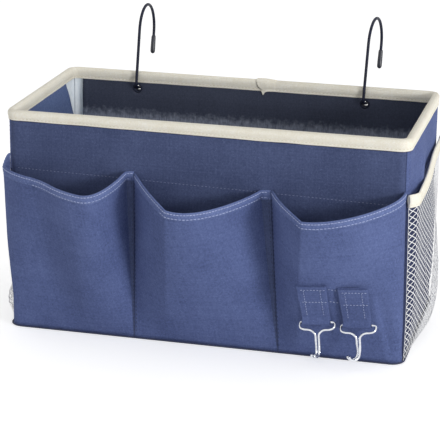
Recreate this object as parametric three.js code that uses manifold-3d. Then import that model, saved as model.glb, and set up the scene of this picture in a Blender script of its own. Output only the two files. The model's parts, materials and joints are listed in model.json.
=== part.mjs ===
// Bedside caddy: an open cloth box stiffened with boards, with pleated front pockets, net side pockets,
// two wire hangers for a bed rail and two small key hooks. Millimetres, +Z up, front towards -Y.
// The origin is the middle of the base's underside.
import * as THREE from "three";
import { mergeVertices } from "three/addons/utils/BufferGeometryUtils.js";
import Module from "manifold-3d";

const wasm = await Module();
wasm.setup();

// Box: outside of the wall cloth, and floor to the top of the rim tape
const boxWidth = 320;
const boxDepth = 160;
const boxHeight = 180;
const cornerRadius = 9;

// Layers of the wall and the clearances between sewn pieces
const clothThickness = 1;
const boardThickness = 1.6;
const baseBoardThickness = 2;
const liningThickness = 0.8;
const tapeThickness = 0.8;
const clearance = 0.3;
const seamGap = 0.6;

// Rim tape: its depth on each side of the wall, and the lapped end on the rear wall
const tapeDrop = 9;
const lapWidth = 12;
const lapTail = 13;
const lapPlace = 14;

// The lining is open at the rear left corner, where the boards slide in: its left and rear edges from there
const sleeveMouthLeft = 25;
const sleeveMouthRear = 12;

// Front pockets: height of the cloth at a divider, and the slack that lets the mouth sink as it leans out.
// The foot of the right one runs on round the corner of the box.
const pocketHeight = 137;
const pocketFoot = 1.5;
const pocketSink = 0.08;
const pocketBelly = 0.2;
const dividerPlace = 57.5;
const rightDividerLean = 4.3;
const pocketReach = 46;
const leftPocketReach = 40.5;
const middlePleatRun = 40;
const rightPleatRun = 33.5;
const middleFootPleat = 26;
const rightFootPleat = 14;
const middleReturnRun = 7;
const rightPocketBulge = 2;
const rightFootWrap = 3;
const leftPocketKnee = 34;
const leftPocketBulge = 18;
const leftReturnRun = 2.6;

// The left and the middle pocket come back to the wall short of their last seam and lie flat from there on:
// the width of that tuck at the mouth and at the foot, and where along the cloth it starts
const leftTuck = 6.4;
const middleTuck = 8;
const footTuck = 1;
const tuckStart = 0.94;

// Fullness of the pocket mouths: how far the curve's handles stand out, as shares of the reach,
// and where along a mouth its knee comes
const faceFullness = 1.08;
const faceShare = 0.42;
const rightReturnFullness = 0.58;
const middleReturnFullness = 0.24;
const leftCornerFullness = 0.22;
const leftFaceFullness = 0.85;
const leftReturnFullness = 0.5;
const pleatShare = 0.4;
const leftKneeShare = 0.6;
const footEase = 1.5;

// Net side pockets: the mouth stands off the wall near its first end, and the loose net bellies out low down
const netThickness = 1;
const netFrontHeight = 136.5;
const netRearHeight = 144;
const netSwell = 5.6;
const netSwellRise = 0.06;
const netSwellFall = [0.25, 0.8];
const netSwellLoss = 0.8;
const netBelly = 11;
const netFootTurn = 5;
const netColumns = 11;
const netRows = 12;
const netCornerSteps = 2;
const netOpening = 0.78;
const netSeamInset = 4;
const netTapeDrop = 9;

// Wire hangers
const hangerInset = 61.5;
const hangerWire = 2.5;
const hangerLeanAngle = 13;
const rightHangerAngle = -5;
const hangerBend = 22.5;
const hangerStem = 48.8;
const hangerDrop = 17.5;
const hangerElbow = 4;
const stemStandoff = 7.7;
const tailStandoff = 7.2;
const tailRise = 5;
const tipLength = 14;
const tipWall = 0.55;
const tipEnd = 1.5;
const tipTaper = 0.6;

// Eyelets that the hangers turn in
const eyeletDrop = 13.7;
const eyeletBore = 5;
const eyeletWall = 0.5;
const eyeletFlange = 8.6;
const eyeletFlangeThickness = 0.6;
const washerThickness = 0.5;
const eyeletCurl = 0.9;

// Key tabs and key hooks on the right front pocket
const tabWidth = 24;
const tabLength = 34.3;
const tabThickness = 2;
const tabTop = 69.3;
const tabCentres = [94, 125.5];
const tabTiltAngle = -5;
const keyWire = 1.8;
const keyLoopWall = 1;
const keyShoulder = 13.7;
const keyCurlDrop = 4.4;
const keyNeckDrop = 6.3;
const keyStrandDrop = 20.5;
const keyHookBend = 5;
const leftKeyHookAngle = 12;
const rightKeyHookAngle = 45;
const keyStrandGap = 0.6;
const keyCurlEase = 0.4;

// Worked out from the sizes above
const wallThickness = clothThickness + boardThickness + liningThickness + 2 * clearance;
const wallTop = boxHeight - tapeThickness - clearance;
const wallFoot = clothThickness + clearance;
const boardInset = clothThickness + clearance;
const liningInset = boardInset + boardThickness + clearance;
const liningFoot = wallFoot + baseBoardThickness + clearance;
const wallMiddle = boxDepth / 2 - wallThickness / 2;
const hangerSpan = boxWidth - 2 * hangerInset;
const eyeletHeight = boxHeight - eyeletDrop;
const eyeletBarrel = eyeletBore / 2 + eyeletWall;
const pocketGap = clearance + clothThickness;
const netMouthGap = 2 * clearance + tapeThickness + netThickness + clearance;

const cloth = { color: 0x515e8c, roughness: 0.85, metalness: 0 };
const liningCloth = { color: 0x353c58, roughness: 0.55, metalness: 0 };
const tape = { color: 0xe8e0ca, roughness: 0.9, metalness: 0 };
const boardPlastic = { color: 0xe9ebee, roughness: 0.5, metalness: 0 };
const netYarn = { color: 0xf1f1ee, roughness: 0.8, metalness: 0 };
const coatedWire = { color: 0x1c2238, roughness: 0.35, metalness: 0 };
const chromeWire = { color: 0xd4d7dc, roughness: 0.12, metalness: 1 };

const caddy = new THREE.Group();

function addMesh(parent, name, geometry, finish) {
  const mesh = new THREE.Mesh(geometry, new THREE.MeshStandardMaterial(finish));
  mesh.name = name;
  parent.add(mesh);
  return mesh;
}

function toSolid(geometry) {
  const plain = geometry.clone();
  plain.deleteAttribute("normal");
  plain.deleteAttribute("uv");
  const merged = mergeVertices(plain, 1e-4);
  const vertProperties = new Float32Array(merged.attributes.position.array);
  const triVerts = new Uint32Array(merged.index.array);
  return new wasm.Manifold(new wasm.Mesh({ numProp: 3, vertProperties, triVerts }));
}

function toGeometry(solid) {
  const mesh = solid.getMesh();
  const geometry = new THREE.BufferGeometry();
  geometry.setAttribute("position", new THREE.BufferAttribute(mesh.vertProperties, 3));
  geometry.setIndex(new THREE.BufferAttribute(mesh.triVerts, 1));
  return geometry;
}

function cut(geometry, cutters) {
  let solid = toSolid(geometry);
  for (const cutter of cutters) {
    solid = solid.subtract(toSolid(cutter));
  }
  return toGeometry(solid);
}

function extrude(shape, depth) {
  return new THREE.ExtrudeGeometry(shape, { depth, bevelEnabled: false, curveSegments: 4 });
}

// A profile drawn in Y and Z and extruded along X, half to each side
function extrudeAcross(shape, width) {
  const geometry = extrude(shape, width);
  geometry.translate(0, 0, -width / 2);
  geometry.rotateX(Math.PI / 2);
  geometry.rotateZ(Math.PI / 2);
  return geometry;
}

function lathe(profile, segments) {
  return new THREE.LatheGeometry(profile.map(([r, h]) => new THREE.Vector2(r, h)), segments);
}

// The four sides, each drawn as if it were the front and then turned about Z
const sides = {
  front: { length: boxWidth, offset: boxDepth / 2, turn: 0 },
  right: { length: boxDepth, offset: boxWidth / 2, turn: Math.PI / 2 },
  back: { length: boxWidth, offset: boxDepth / 2, turn: Math.PI },
  left: { length: boxDepth, offset: boxWidth / 2, turn: -Math.PI / 2 },
};

// Plan of one wall layer: a straight run that turns half of each rounded corner
function wallShape(side, inset, thickness) {
  const reach = side.length / 2 - cornerRadius;
  const level = cornerRadius - side.offset;
  const outer = cornerRadius - inset;
  const inner = outer - thickness;
  const trim = seamGap / 2 / inner;
  const straightDown = -Math.PI / 2;
  const first = straightDown - Math.PI / 4 + trim;
  const last = straightDown + Math.PI / 4 - trim;
  const shape = new THREE.Shape();
  shape.absarc(-reach, level, outer, first, straightDown, false);
  shape.absarc(reach, level, outer, straightDown, last, false);
  shape.absarc(reach, level, inner, last, straightDown, true);
  shape.absarc(-reach, level, inner, straightDown, first, true);
  shape.closePath();
  return shape;
}

function wallLayer(side, inset, thickness, low, high) {
  const geometry = extrude(wallShape(side, inset, thickness), high - low);
  geometry.translate(0, 0, low);
  geometry.rotateZ(side.turn);
  return geometry;
}

function roundedRectangle(inset) {
  const x = boxWidth / 2 - cornerRadius;
  const y = boxDepth / 2 - cornerRadius;
  const radius = cornerRadius - inset;
  const shape = new THREE.Shape();
  shape.absarc(x, -y, radius, -Math.PI / 2, 0, false);
  shape.absarc(x, y, radius, 0, Math.PI / 2, false);
  shape.absarc(-x, y, radius, Math.PI / 2, Math.PI, false);
  shape.absarc(-x, -y, radius, Math.PI, 1.5 * Math.PI, false);
  shape.closePath();
  return shape;
}

function floorLayer(inset, thickness, low) {
  const geometry = extrude(roundedRectangle(inset), thickness);
  geometry.translate(0, 0, low);
  return geometry;
}

// Round holes through the rear wall, one for each eyelet barrel
const hangerPlaces = { left: -hangerSpan / 2, right: hangerSpan / 2 };
const hangerAngles = { left: 0, right: rightHangerAngle };
const eyeletHoles = Object.values(hangerPlaces).map((x) => {
  const hole = new THREE.CylinderGeometry(
    eyeletBarrel + clearance, eyeletBarrel + clearance, 4 * wallThickness, 16);
  hole.translate(x, wallMiddle, eyeletHeight);
  return hole;
});

// A tall block over the rear left corner, as wide and as deep as the lining's opening there
function sleeveCutter() {
  const cutter = new THREE.BoxGeometry(2 * sleeveMouthRear, 2 * sleeveMouthLeft, 2 * boxHeight);
  cutter.translate(-boxWidth / 2, boxDepth / 2, boxHeight / 2);
  return cutter;
}

function addWalls() {
  for (const [name, side] of Object.entries(sides)) {
    let outer = wallLayer(side, 0, clothThickness, wallFoot, wallTop);
    let board = wallLayer(side, boardInset, boardThickness, wallFoot, wallTop);
    let lining = wallLayer(side, liningInset, liningThickness, liningFoot, wallTop);
    if (name === "back") {
      outer = cut(outer, eyeletHoles);
      board = cut(board, eyeletHoles);
      lining = cut(lining, eyeletHoles);
    }
    if (name === "left" || name === "back") {
      lining = cut(lining, [sleeveCutter()]);
    }
    addMesh(caddy, `outer_${name}_panel`, outer, cloth);
    addMesh(caddy, `${name}_board`, board, boardPlastic);
    addMesh(caddy, `${name}_lining`, lining, liningCloth);
  }
  const baseBoardInset = boardInset + boardThickness + clearance;
  addMesh(caddy, "outer_base_panel", floorLayer(0, clothThickness, 0), cloth);
  addMesh(caddy, "base_board", floorLayer(baseBoardInset, baseBoardThickness, wallFoot), boardPlastic);
  const baseLining = floorLayer(wallThickness + clearance, liningThickness, liningFoot);
  addMesh(caddy, "base_lining", baseLining, liningCloth);
}

// Rim tape: a ring with a slot from below that the wall's top edge stands in
function ringBand(outset, low, high) {
  const shape = roundedRectangle(-outset);
  shape.holes.push(roundedRectangle(wallThickness + outset));
  const geometry = extrude(shape, high - low);
  geometry.translate(0, 0, low);
  return geometry;
}

function addRimTape() {
  const low = boxHeight - tapeDrop;
  const band = ringBand(clearance + tapeThickness, low, boxHeight);
  const slot = ringBand(clearance, low - tapeDrop, boxHeight - tapeThickness);
  addMesh(caddy, "rim_binding", cut(band, [slot]), tape);

  // The end of the tape, folded over the rim again on the rear wall
  const inside = wallThickness / 2 + 2 * clearance + tapeThickness;
  const outside = inside + tapeThickness;
  const crown = boxHeight + clearance;
  const saddle = new THREE.Shape();
  saddle.moveTo(-outside, boxHeight - lapTail);
  saddle.lineTo(-inside, boxHeight - lapTail);
  saddle.lineTo(-inside, crown);
  saddle.lineTo(inside, crown);
  saddle.lineTo(inside, low);
  saddle.lineTo(outside, low);
  saddle.lineTo(outside, crown + tapeThickness);
  saddle.lineTo(-outside, crown + tapeThickness);
  saddle.closePath();
  const lap = extrudeAcross(saddle, lapWidth);
  lap.translate(lapPlace, wallMiddle, 0);
  addMesh(caddy, "rim_binding_lap", lap, tape);
}

// A closed sheet of cloth or net between u = 0..1 (left to right, seen from outside) and v = 0..1 (up).
// The surface gives its outer skin, and the inner skin lies one thickness behind it.
function skinPoint(surface, u, v, depth) {
  const step = 1e-3;
  const u0 = Math.max(u - step, 0);
  const u1 = Math.min(u + step, 1);
  const v0 = Math.max(v - step, 0);
  const v1 = Math.min(v + step, 1);
  const across = surface(u1, v).sub(surface(u0, v));
  const upward = surface(u, v1).sub(surface(u, v0));
  const normal = across.cross(upward).normalize();
  return surface(u, v).addScaledVector(normal, -depth);
}

function sheet(surface, columns, rows, thickness, opening = 0, sideMargin = 0) {
  const points = [];
  const faces = [];
  const across = columns.length - 1;
  const upward = rows.length - 1;
  const addPair = (u, v) => {
    points.push(skinPoint(surface, u, v, 0), skinPoint(surface, u, v, thickness));
    return points.length - 2;
  };
  const grid = rows.map((v) => columns.map((u) => addPair(u, v)));
  const addTriangle = (a, b, c) => {
    faces.push(a, b, c);
    faces.push(a + 1, c + 1, b + 1);
  };
  const addEdge = (a, b) => {
    faces.push(a, a + 1, b + 1);
    faces.push(a, b + 1, b);
  };
  for (let j = 0; j < upward; j += 1) {
    for (let i = 0; i < across; i += 1) {
      const corners = [grid[j][i], grid[j][i + 1], grid[j + 1][i + 1], grid[j + 1][i]];
      const inColumns = i >= sideMargin && i < across - sideMargin;
      const inRows = j > 0 && j < upward - 1;
      if (!opening || !inColumns || !inRows) {
        addTriangle(corners[0], corners[1], corners[2]);
        addTriangle(corners[0], corners[2], corners[3]);
        continue;
      }
      const u = (columns[i] + columns[i + 1]) / 2;
      const v = (rows[j] + rows[j + 1]) / 2;
      const du = (opening * (columns[i + 1] - columns[i])) / 2;
      const dv = (opening * (rows[j + 1] - rows[j])) / 2;
      const diamond = [addPair(u, v - dv), addPair(u + du, v), addPair(u, v + dv), addPair(u - du, v)];
      for (let k = 0; k < 4; k += 1) {
        const next = (k + 1) % 4;
        addTriangle(corners[k], corners[next], diamond[k]);
        addTriangle(corners[next], diamond[next], diamond[k]);
        addEdge(diamond[next], diamond[k]);
      }
    }
  }
  for (let i = 0; i < across; i += 1) {
    addEdge(grid[0][i], grid[0][i + 1]);
    addEdge(grid[upward][i + 1], grid[upward][i]);
  }
  for (let j = 0; j < upward; j += 1) {
    addEdge(grid[j + 1][0], grid[j][0]);
    addEdge(grid[j][across], grid[j + 1][across]);
  }
  const geometry = new THREE.BufferGeometry().setFromPoints(points);
  geometry.setIndex(faces);
  return geometry;
}

function evenSteps(from, to, count) {
  return Array.from({ length: count + 1 }, (_, k) => from + ((to - from) * k) / count);
}

// A point beside a wall, at a distance along it from its middle, following the rounded corners
function besideWall(side, along, gap) {
  const reach = side.length / 2 - cornerRadius;
  const past = Math.max(Math.abs(along) - reach, 0) / cornerRadius;
  const level = cornerRadius - side.offset;
  const radius = cornerRadius + gap;
  const flat = Math.min(Math.abs(along), reach);
  const x = flat + radius * Math.sin(past);
  return new THREE.Vector2(Math.sign(along) * x, level - radius * Math.cos(past));
}

function seamPlace(side) {
  return side.length / 2 - cornerRadius + (cornerRadius * Math.PI) / 4;
}

// A front pocket: its mouth is two curves that meet at a knee, its foot lies along the wall,
// and the cloth between them leans out from the foot
function pocketSurface(pocket) {
  const side = sides.front;
  const { knee, handles, kneeShare, tuck, flatFrom } = pocket;
  const start = besideWall(side, pocket.from.top, pocketGap);
  const end = besideWall(side, pocket.to.top - tuck, pocketGap);
  const footEnd = tuck ? pocket.to.foot - footTuck : pocket.to.foot;
  const wallFace = -side.offset;
  const at = ([x, out]) => new THREE.Vector2(x, wallFace - out);
  const kneePoint = at(knee);
  const first = new THREE.CubicBezierCurve(start, at(handles[0]), at(handles[1]), kneePoint);
  const second = new THREE.CubicBezierCurve(kneePoint, at(handles[2]), at(handles[3]), end);
  return (u, v) => {
    const early = u <= kneeShare;
    const share = early ? u / kneeShare : Math.min((u - kneeShare) / (flatFrom - kneeShare), 1);
    const tucked = u > flatFrom ? (u - flatFrom) / (1 - flatFrom) : 0;
    const mouth = early ? first.getPoint(share) : second.getPoint(share);
    mouth.x += tuck * tucked;
    const eased = 1 - (1 - share) ** footEase;
    const place = early
      ? THREE.MathUtils.lerp(pocket.from.foot, pocket.footKnee, share)
      : THREE.MathUtils.lerp(pocket.footKnee, footEnd, eased) + footTuck * tucked;
    const foot = besideWall(side, place, pocketGap);
    const out = Math.max(wallFace - mouth.y, 0);
    const top = Math.sqrt(pocketHeight ** 2 - out ** 2) - pocketSink * out;
    const lean = v * (1 + pocketBelly) - pocketBelly * v * v;
    const plan = foot.lerp(mouth, lean);
    return new THREE.Vector3(plan.x, plan.y, THREE.MathUtils.lerp(pocketFoot, top, v));
  };
}

// A pleated pocket: a straight pleat out to the crease, then the face, its return to the wall and any tuck.
// A seam has its place along the wall at the mouth and at the foot.
function pleatedPocket(from, to, pleatRun, footPleat, returnRun, returnFullness, tuck) {
  const start = besideWall(sides.front, from.top, pocketGap);
  const end = besideWall(sides.front, to.top - tuck, pocketGap);
  const creaseX = start.x + pleatRun;
  const face = end.x - creaseX;
  const handles = [
    [start.x + pleatRun / 3, pocketReach / 3],
    [start.x + (2 * pleatRun) / 3, (2 * pocketReach) / 3],
    [creaseX + faceShare * face, faceFullness * pocketReach],
    [end.x - returnRun, returnFullness * pocketReach],
  ];
  const knee = [creaseX, pocketReach];
  const footKnee = from.foot + footPleat;
  const flatFrom = tuck ? tuckStart : 1;
  return { from, to, knee, handles, kneeShare: pleatShare, footKnee, tuck, flatFrom, steps: [5, 14] };
}

// The left pocket is a plain round bag that starts at the corner seam
function roundPocket(from, to) {
  const start = besideWall(sides.front, from.top, pocketGap);
  const end = besideWall(sides.front, to.top - leftTuck, pocketGap);
  const kneeX = to.top - leftPocketKnee;
  const handles = [
    [start.x - leftPocketBulge, leftCornerFullness * leftPocketReach],
    [kneeX - leftPocketKnee, leftFaceFullness * leftPocketReach],
    [kneeX + leftPocketKnee / 2, faceFullness * leftPocketReach],
    [end.x - leftReturnRun, leftReturnFullness * leftPocketReach],
  ];
  const knee = [kneeX, leftPocketReach];
  const footKnee = THREE.MathUtils.lerp(from.foot, to.foot, leftKneeShare);
  const shares = { kneeShare: leftKneeShare, flatFrom: tuckStart };
  return { from, to, knee, handles, ...shares, footKnee, tuck: leftTuck, steps: [13, 7] };
}

const frontSeam = seamPlace(sides.front) - seamGap / 2;
function seamAt(top, foot = top) {
  return { top, foot };
}

function besideDivider(offset) {
  return seamAt(dividerPlace - rightDividerLean + offset, dividerPlace + rightDividerLean + offset);
}

const frontPockets = {
  left: roundPocket(seamAt(-frontSeam), seamAt(-dividerPlace - seamGap / 2)),
  middle: pleatedPocket(
    seamAt(-dividerPlace + seamGap / 2), besideDivider(-seamGap / 2),
    middlePleatRun, middleFootPleat, middleReturnRun, middleReturnFullness, middleTuck),
  right: pleatedPocket(
    besideDivider(seamGap / 2), seamAt(frontSeam, frontSeam + rightFootWrap),
    rightPleatRun, rightFootPleat, -rightPocketBulge, rightReturnFullness, 0),
};

function addFrontPockets() {
  const rows = evenSteps(0, 1, 7);
  for (const [name, pocket] of Object.entries(frontPockets)) {
    const before = evenSteps(0, pocket.kneeShare, pocket.steps[0]);
    const after = evenSteps(pocket.kneeShare, pocket.flatFrom, pocket.steps[1]).slice(1);
    const columns = pocket.tuck ? [...before, ...after, 1] : [...before, ...after];
    const geometry = sheet(pocketSurface(pocket), columns, rows, clothThickness);
    addMesh(caddy, `front_pocket_${name}`, geometry, cloth);
  }
}

// A net side pocket, drawn on the front and turned to its side: u runs from one corner seam to the other
function netSurface(side, startHeight, endHeight) {
  const reach = seamPlace(side) - netSeamInset;
  return (u, v) => {
    const rise = THREE.MathUtils.smoothstep(u, 0, netSwellRise);
    const fall = THREE.MathUtils.smoothstep(u, ...netSwellFall);
    const mouthGap = netMouthGap + netSwell * rise * (1 - netSwellLoss * fall);
    const belly = netBelly * Math.sin(Math.PI * u) ** 2 * Math.sin(Math.PI * Math.sqrt(v));
    const gap = THREE.MathUtils.lerp(pocketGap, mouthGap, 1 - (1 - v) ** netFootTurn) + belly;
    const plan = besideWall(side, THREE.MathUtils.lerp(-reach, reach, u), gap);
    const tall = THREE.MathUtils.lerp(startHeight, endHeight, u);
    const top = Math.sqrt(tall ** 2 - mouthGap ** 2) - pocketSink * mouthGap;
    return new THREE.Vector3(plan.x, plan.y, THREE.MathUtils.lerp(pocketFoot, top, v));
  };
}

// Tape folded over the mouth of a net: a channel swept along the top edge of the sheet
function mouthTape(surface, columns) {
  const outer = clearance;
  const inner = -netThickness - clearance;
  const section = [
    [outer, -netTapeDrop],
    [outer + tapeThickness, -netTapeDrop],
    [outer + tapeThickness, clearance + tapeThickness],
    [inner - tapeThickness, clearance + tapeThickness],
    [inner - tapeThickness, -netTapeDrop],
    [inner, -netTapeDrop],
    [inner, clearance],
    [outer, clearance],
  ];
  const points = [];
  for (const u of columns) {
    const edge = surface(u, 1);
    const outward = edge.clone().sub(skinPoint(surface, u, 1, 1));
    const upward = edge.clone().sub(surface(u, 1 - 1e-3)).normalize();
    for (const [out, up] of section) {
      points.push(edge.clone().addScaledVector(outward, out).addScaledVector(upward, up));
    }
  }
  const count = section.length;
  const faces = [];
  for (let i = 0; i < columns.length - 1; i += 1) {
    for (let k = 0; k < count; k += 1) {
      const a = i * count + k;
      const b = i * count + ((k + 1) % count);
      faces.push(a, a + count, b + count);
      faces.push(a, b + count, b);
    }
  }
  const contour = section.map(([out, up]) => new THREE.Vector2(out, up));
  const last = (columns.length - 1) * count;
  for (const [a, b, c] of THREE.ShapeUtils.triangulateShape(contour, [])) {
    faces.push(a, b, c);
    faces.push(last + a, last + c, last + b);
  }
  const geometry = new THREE.BufferGeometry().setFromPoints(points);
  geometry.setIndex(faces);
  return geometry;
}

function addNetPockets() {
  const heights = { right: [netFrontHeight, netRearHeight], left: [netRearHeight, netFrontHeight] };
  for (const [name, [startHeight, endHeight]] of Object.entries(heights)) {
    const side = sides[name];
    const surface = netSurface(side, startHeight, endHeight);
    const reach = seamPlace(side) - netSeamInset;
    const corner = (reach - side.length / 2 + cornerRadius) / (2 * reach);
    const columns = [
      ...evenSteps(0, corner, netCornerSteps).slice(0, -1),
      ...evenSteps(corner, 1 - corner, netColumns),
      ...evenSteps(1 - corner, 1, netCornerSteps).slice(1),
    ];
    const rows = evenSteps(0, 1, netRows);
    const net = sheet(surface, columns, rows, netThickness, netOpening, netCornerSteps);
    const binding = mouthTape(surface, columns);
    net.rotateZ(sides[name].turn);
    binding.rotateZ(sides[name].turn);
    addMesh(caddy, `mesh_pocket_${name}`, net, netYarn);
    addMesh(caddy, `mesh_binding_${name}`, binding, tape);
  }
}

// Eyelets: a flange inside the box, a barrel through the wall, and a curled end over the washer outside
function eyeletGeometry() {
  const bore = eyeletBore / 2;
  const seat = wallThickness / 2 + clearance;
  const washerTop = seat + washerThickness + clearance;
  const profile = [
    [bore, -seat - eyeletFlangeThickness],
    [eyeletFlange / 2, -seat - eyeletFlangeThickness],
    [eyeletFlange / 2, -seat],
    [eyeletBarrel, -seat],
    [eyeletBarrel, washerTop],
    [eyeletBarrel + clearance + eyeletCurl, washerTop],
    [eyeletBarrel + clearance + eyeletCurl, washerTop + eyeletFlangeThickness],
    [bore, washerTop + eyeletFlangeThickness],
    [bore, -seat - eyeletFlangeThickness],
  ];
  return lathe(profile, 16);
}

function washerGeometry() {
  const hole = eyeletBarrel + clearance;
  const seat = wallThickness / 2 + clearance;
  const profile = [
    [hole, seat],
    [eyeletFlange / 2, seat],
    [eyeletFlange / 2, seat + washerThickness],
    [hole, seat + washerThickness],
    [hole, seat],
  ];
  return lathe(profile, 16);
}

// Bent wire: straight runs and bends, drawn in the plane X = 0 with angles from +Y towards +Z
class WireBend extends THREE.Curve {
  constructor(y, z, radius, from, to) {
    super();
    Object.assign(this, { y, z, radius, from, to });
  }

  getPoint(t, target = new THREE.Vector3()) {
    const angle = THREE.MathUtils.degToRad(this.from + (this.to - this.from) * t);
    return target.set(0, this.y + this.radius * Math.cos(angle), this.z + this.radius * Math.sin(angle));
  }
}

function wireSection(diameter, count) {
  const corners = Array.from({ length: count }, (_, k) => {
    const angle = ((k + 0.5) * 2 * Math.PI) / count;
    return new THREE.Vector2((diameter / 2) * Math.cos(angle), (diameter / 2) * Math.sin(angle));
  });
  return new THREE.Shape(corners);
}

function wireAlong(path, diameter, corners, steps) {
  return new THREE.ExtrudeGeometry(wireSection(diameter, corners), { steps, extrudePath: path });
}

function straightWire(y0, z0, y1, z1) {
  return new THREE.LineCurve3(new THREE.Vector3(0, y0, z0), new THREE.Vector3(0, y1, z1));
}

function hangerPath() {
  const tail = tailStandoff;
  const stem = -stemStandoff;
  const far = stem + 2 * hangerBend;
  const path = new THREE.CurvePath();
  path.add(straightWire(tail, hangerElbow + tailRise, tail, hangerElbow));
  path.add(new WireBend(tail - hangerElbow, hangerElbow, hangerElbow, 0, -90));
  path.add(straightWire(tail - hangerElbow, 0, stem + hangerElbow, 0));
  path.add(new WireBend(stem + hangerElbow, hangerElbow, hangerElbow, -90, -180));
  path.add(straightWire(stem, hangerElbow, stem, hangerStem));
  path.add(new WireBend(stem + hangerBend, hangerStem, hangerBend, 180, 0));
  path.add(straightWire(far, hangerStem, far, hangerStem - hangerDrop));
  return path;
}

function tipGeometry() {
  const bore = hangerWire / 2 + clearance;
  const outer = bore + tipWall;
  const profile = [
    [0, -clearance - tipEnd],
    [tipTaper * outer, -clearance - tipEnd],
    [outer, -clearance],
    [outer, tipLength],
    [bore, tipLength],
    [bore, -clearance],
    [0, -clearance],
  ];
  const geometry = lathe(profile, 12);
  geometry.rotateX(Math.PI / 2);
  geometry.translate(0, 2 * hangerBend - stemStandoff, hangerStem - hangerDrop);
  return geometry;
}

function addHangers() {
  for (const [name, x] of Object.entries(hangerPlaces)) {
    const seat = new THREE.Group();
    seat.position.set(x, wallMiddle, eyeletHeight);
    addMesh(seat, `eyelet_${name}`, eyeletGeometry(), coatedWire);
    addMesh(seat, `eyelet_washer_${name}`, washerGeometry(), coatedWire);
    const hanger = new THREE.Group();
    hanger.rotation.order = "ZXY";
    hanger.rotation.x = -THREE.MathUtils.degToRad(hangerLeanAngle);
    hanger.rotation.z = THREE.MathUtils.degToRad(hangerAngles[name]);
    addMesh(hanger, `hanger_hook_${name}`, wireAlong(hangerPath(), hangerWire, 8, 60), coatedWire);
    addMesh(hanger, `hook_tip_${name}`, tipGeometry(), coatedWire);
    seat.add(hanger);
    caddy.add(seat);
  }
}

// Key tabs: a folded strap that lies on the pocket's face and ends in a loop round the key hook's bar
const keyLoopBore = keyWire / 2 + 2 * clearance;
const keyLoopRadius = keyLoopBore + keyLoopWall;
const tabTilt = THREE.MathUtils.degToRad(tabTiltAngle);

// The plane that a tab lies on: the pocket's lean at the tab, moved out to clear the cloth across its width
function tabPlane(centre) {
  const surface = pocketSurface(frontPockets.right);
  const bottom = tabTop - tabLength - 2 * keyLoopRadius;
  const spots = [];
  for (const u of evenSteps(frontPockets.right.kneeShare, 1, 60)) {
    for (const v of evenSteps(0, 0.7, 60)) {
      const spot = surface(u, v);
      const middle = centre + (spot.z - tabTop) * Math.tan(tabTilt);
      const beside = Math.abs(spot.x - middle) <= tabWidth / 2 + clearance;
      if (beside && spot.z >= bottom && spot.z <= tabTop + tabThickness) {
        spots.push(spot);
      }
    }
  }
  const front = (low, high) =>
    Math.min(...spots.filter((p) => p.z >= low && p.z <= high).map((p) => p.y));
  const band = tabLength / 6;
  const slope = (front(tabTop - band, tabTop) - front(bottom, bottom + band)) / (tabTop - band - bottom);
  const level = Math.min(...spots.map((p) => p.y - slope * (p.z - tabTop)));
  return { lean: Math.atan(slope), y: level - clearance };
}

function tabGeometry() {
  const back = 0;
  const front = -tabThickness;
  const eye = { y: -keyLoopRadius, z: -tabLength };
  const shape = new THREE.Shape();
  shape.moveTo(front, 0);
  shape.lineTo(front, eye.z + keyLoopRadius);
  shape.absarc(eye.y, eye.z, keyLoopRadius, Math.PI * 0.6, Math.PI * 2, false);
  shape.lineTo(back, 0);
  shape.closePath();
  const hole = new THREE.Path();
  hole.absarc(eye.y, eye.z, keyLoopBore, 0, 2 * Math.PI, true);
  shape.holes.push(hole);
  return extrudeAcross(shape, tabWidth);
}

// Key hook: one wire from a hook end up a strand, out to a shoulder, through the loop and back down again;
// the hook end is bent forward and turned to the left by an angle
function keyHookGeometry(angle) {
  const strand = (keyWire + keyStrandGap) / 2;
  const front = -keyCurlDrop;
  const bar = tabWidth / 2;
  const bendSide = keyHookBend * Math.SQRT1_2;
  const upper = [
    [bar / 2, 0, 0],
    [bar, 0, 0],
    [keyShoulder - keyCurlEase, -keyCurlEase, -keyCurlEase],
    [keyShoulder, front * keyCurlEase, -keyCurlDrop * keyCurlEase],
    [keyShoulder - keyWire / 2, front * (1 - keyCurlEase / 2), -keyCurlDrop * (1 - keyCurlEase / 2)],
    [bar - keyWire, front, -keyCurlDrop],
    [strand + keyWire, front, -keyNeckDrop + keyWire / 2],
    [strand, front, -keyNeckDrop - keyWire],
    [strand, front, -(keyNeckDrop + keyStrandDrop) / 2],
  ];
  const lower = [
    [strand, 0, -keyStrandDrop],
    [strand, bendSide - keyHookBend, -keyStrandDrop - bendSide],
    [strand, -keyHookBend, -keyStrandDrop - keyHookBend],
    [strand, -keyHookBend - bendSide, -keyStrandDrop - bendSide],
    [strand, -2 * keyHookBend, -keyStrandDrop - bendSide / 4],
  ];
  const turn = THREE.MathUtils.degToRad(-angle);
  const up = new THREE.Vector3(0, 0, 1);
  const halfPath = (side) => [
    ...upper.map(([x, y, z]) => new THREE.Vector3(side * x, y, z)),
    ...lower.map(([x, y, z]) => {
      const point = new THREE.Vector3(side * x, y, z).applyAxisAngle(up, turn);
      point.y += front;
      return point;
    }),
  ];
  const right = halfPath(1);
  const left = halfPath(-1).reverse();
  const path = new THREE.CatmullRomCurve3([...left, ...right], false, "centripetal");
  return wireAlong(path, keyWire, 6, 84);
}

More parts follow.
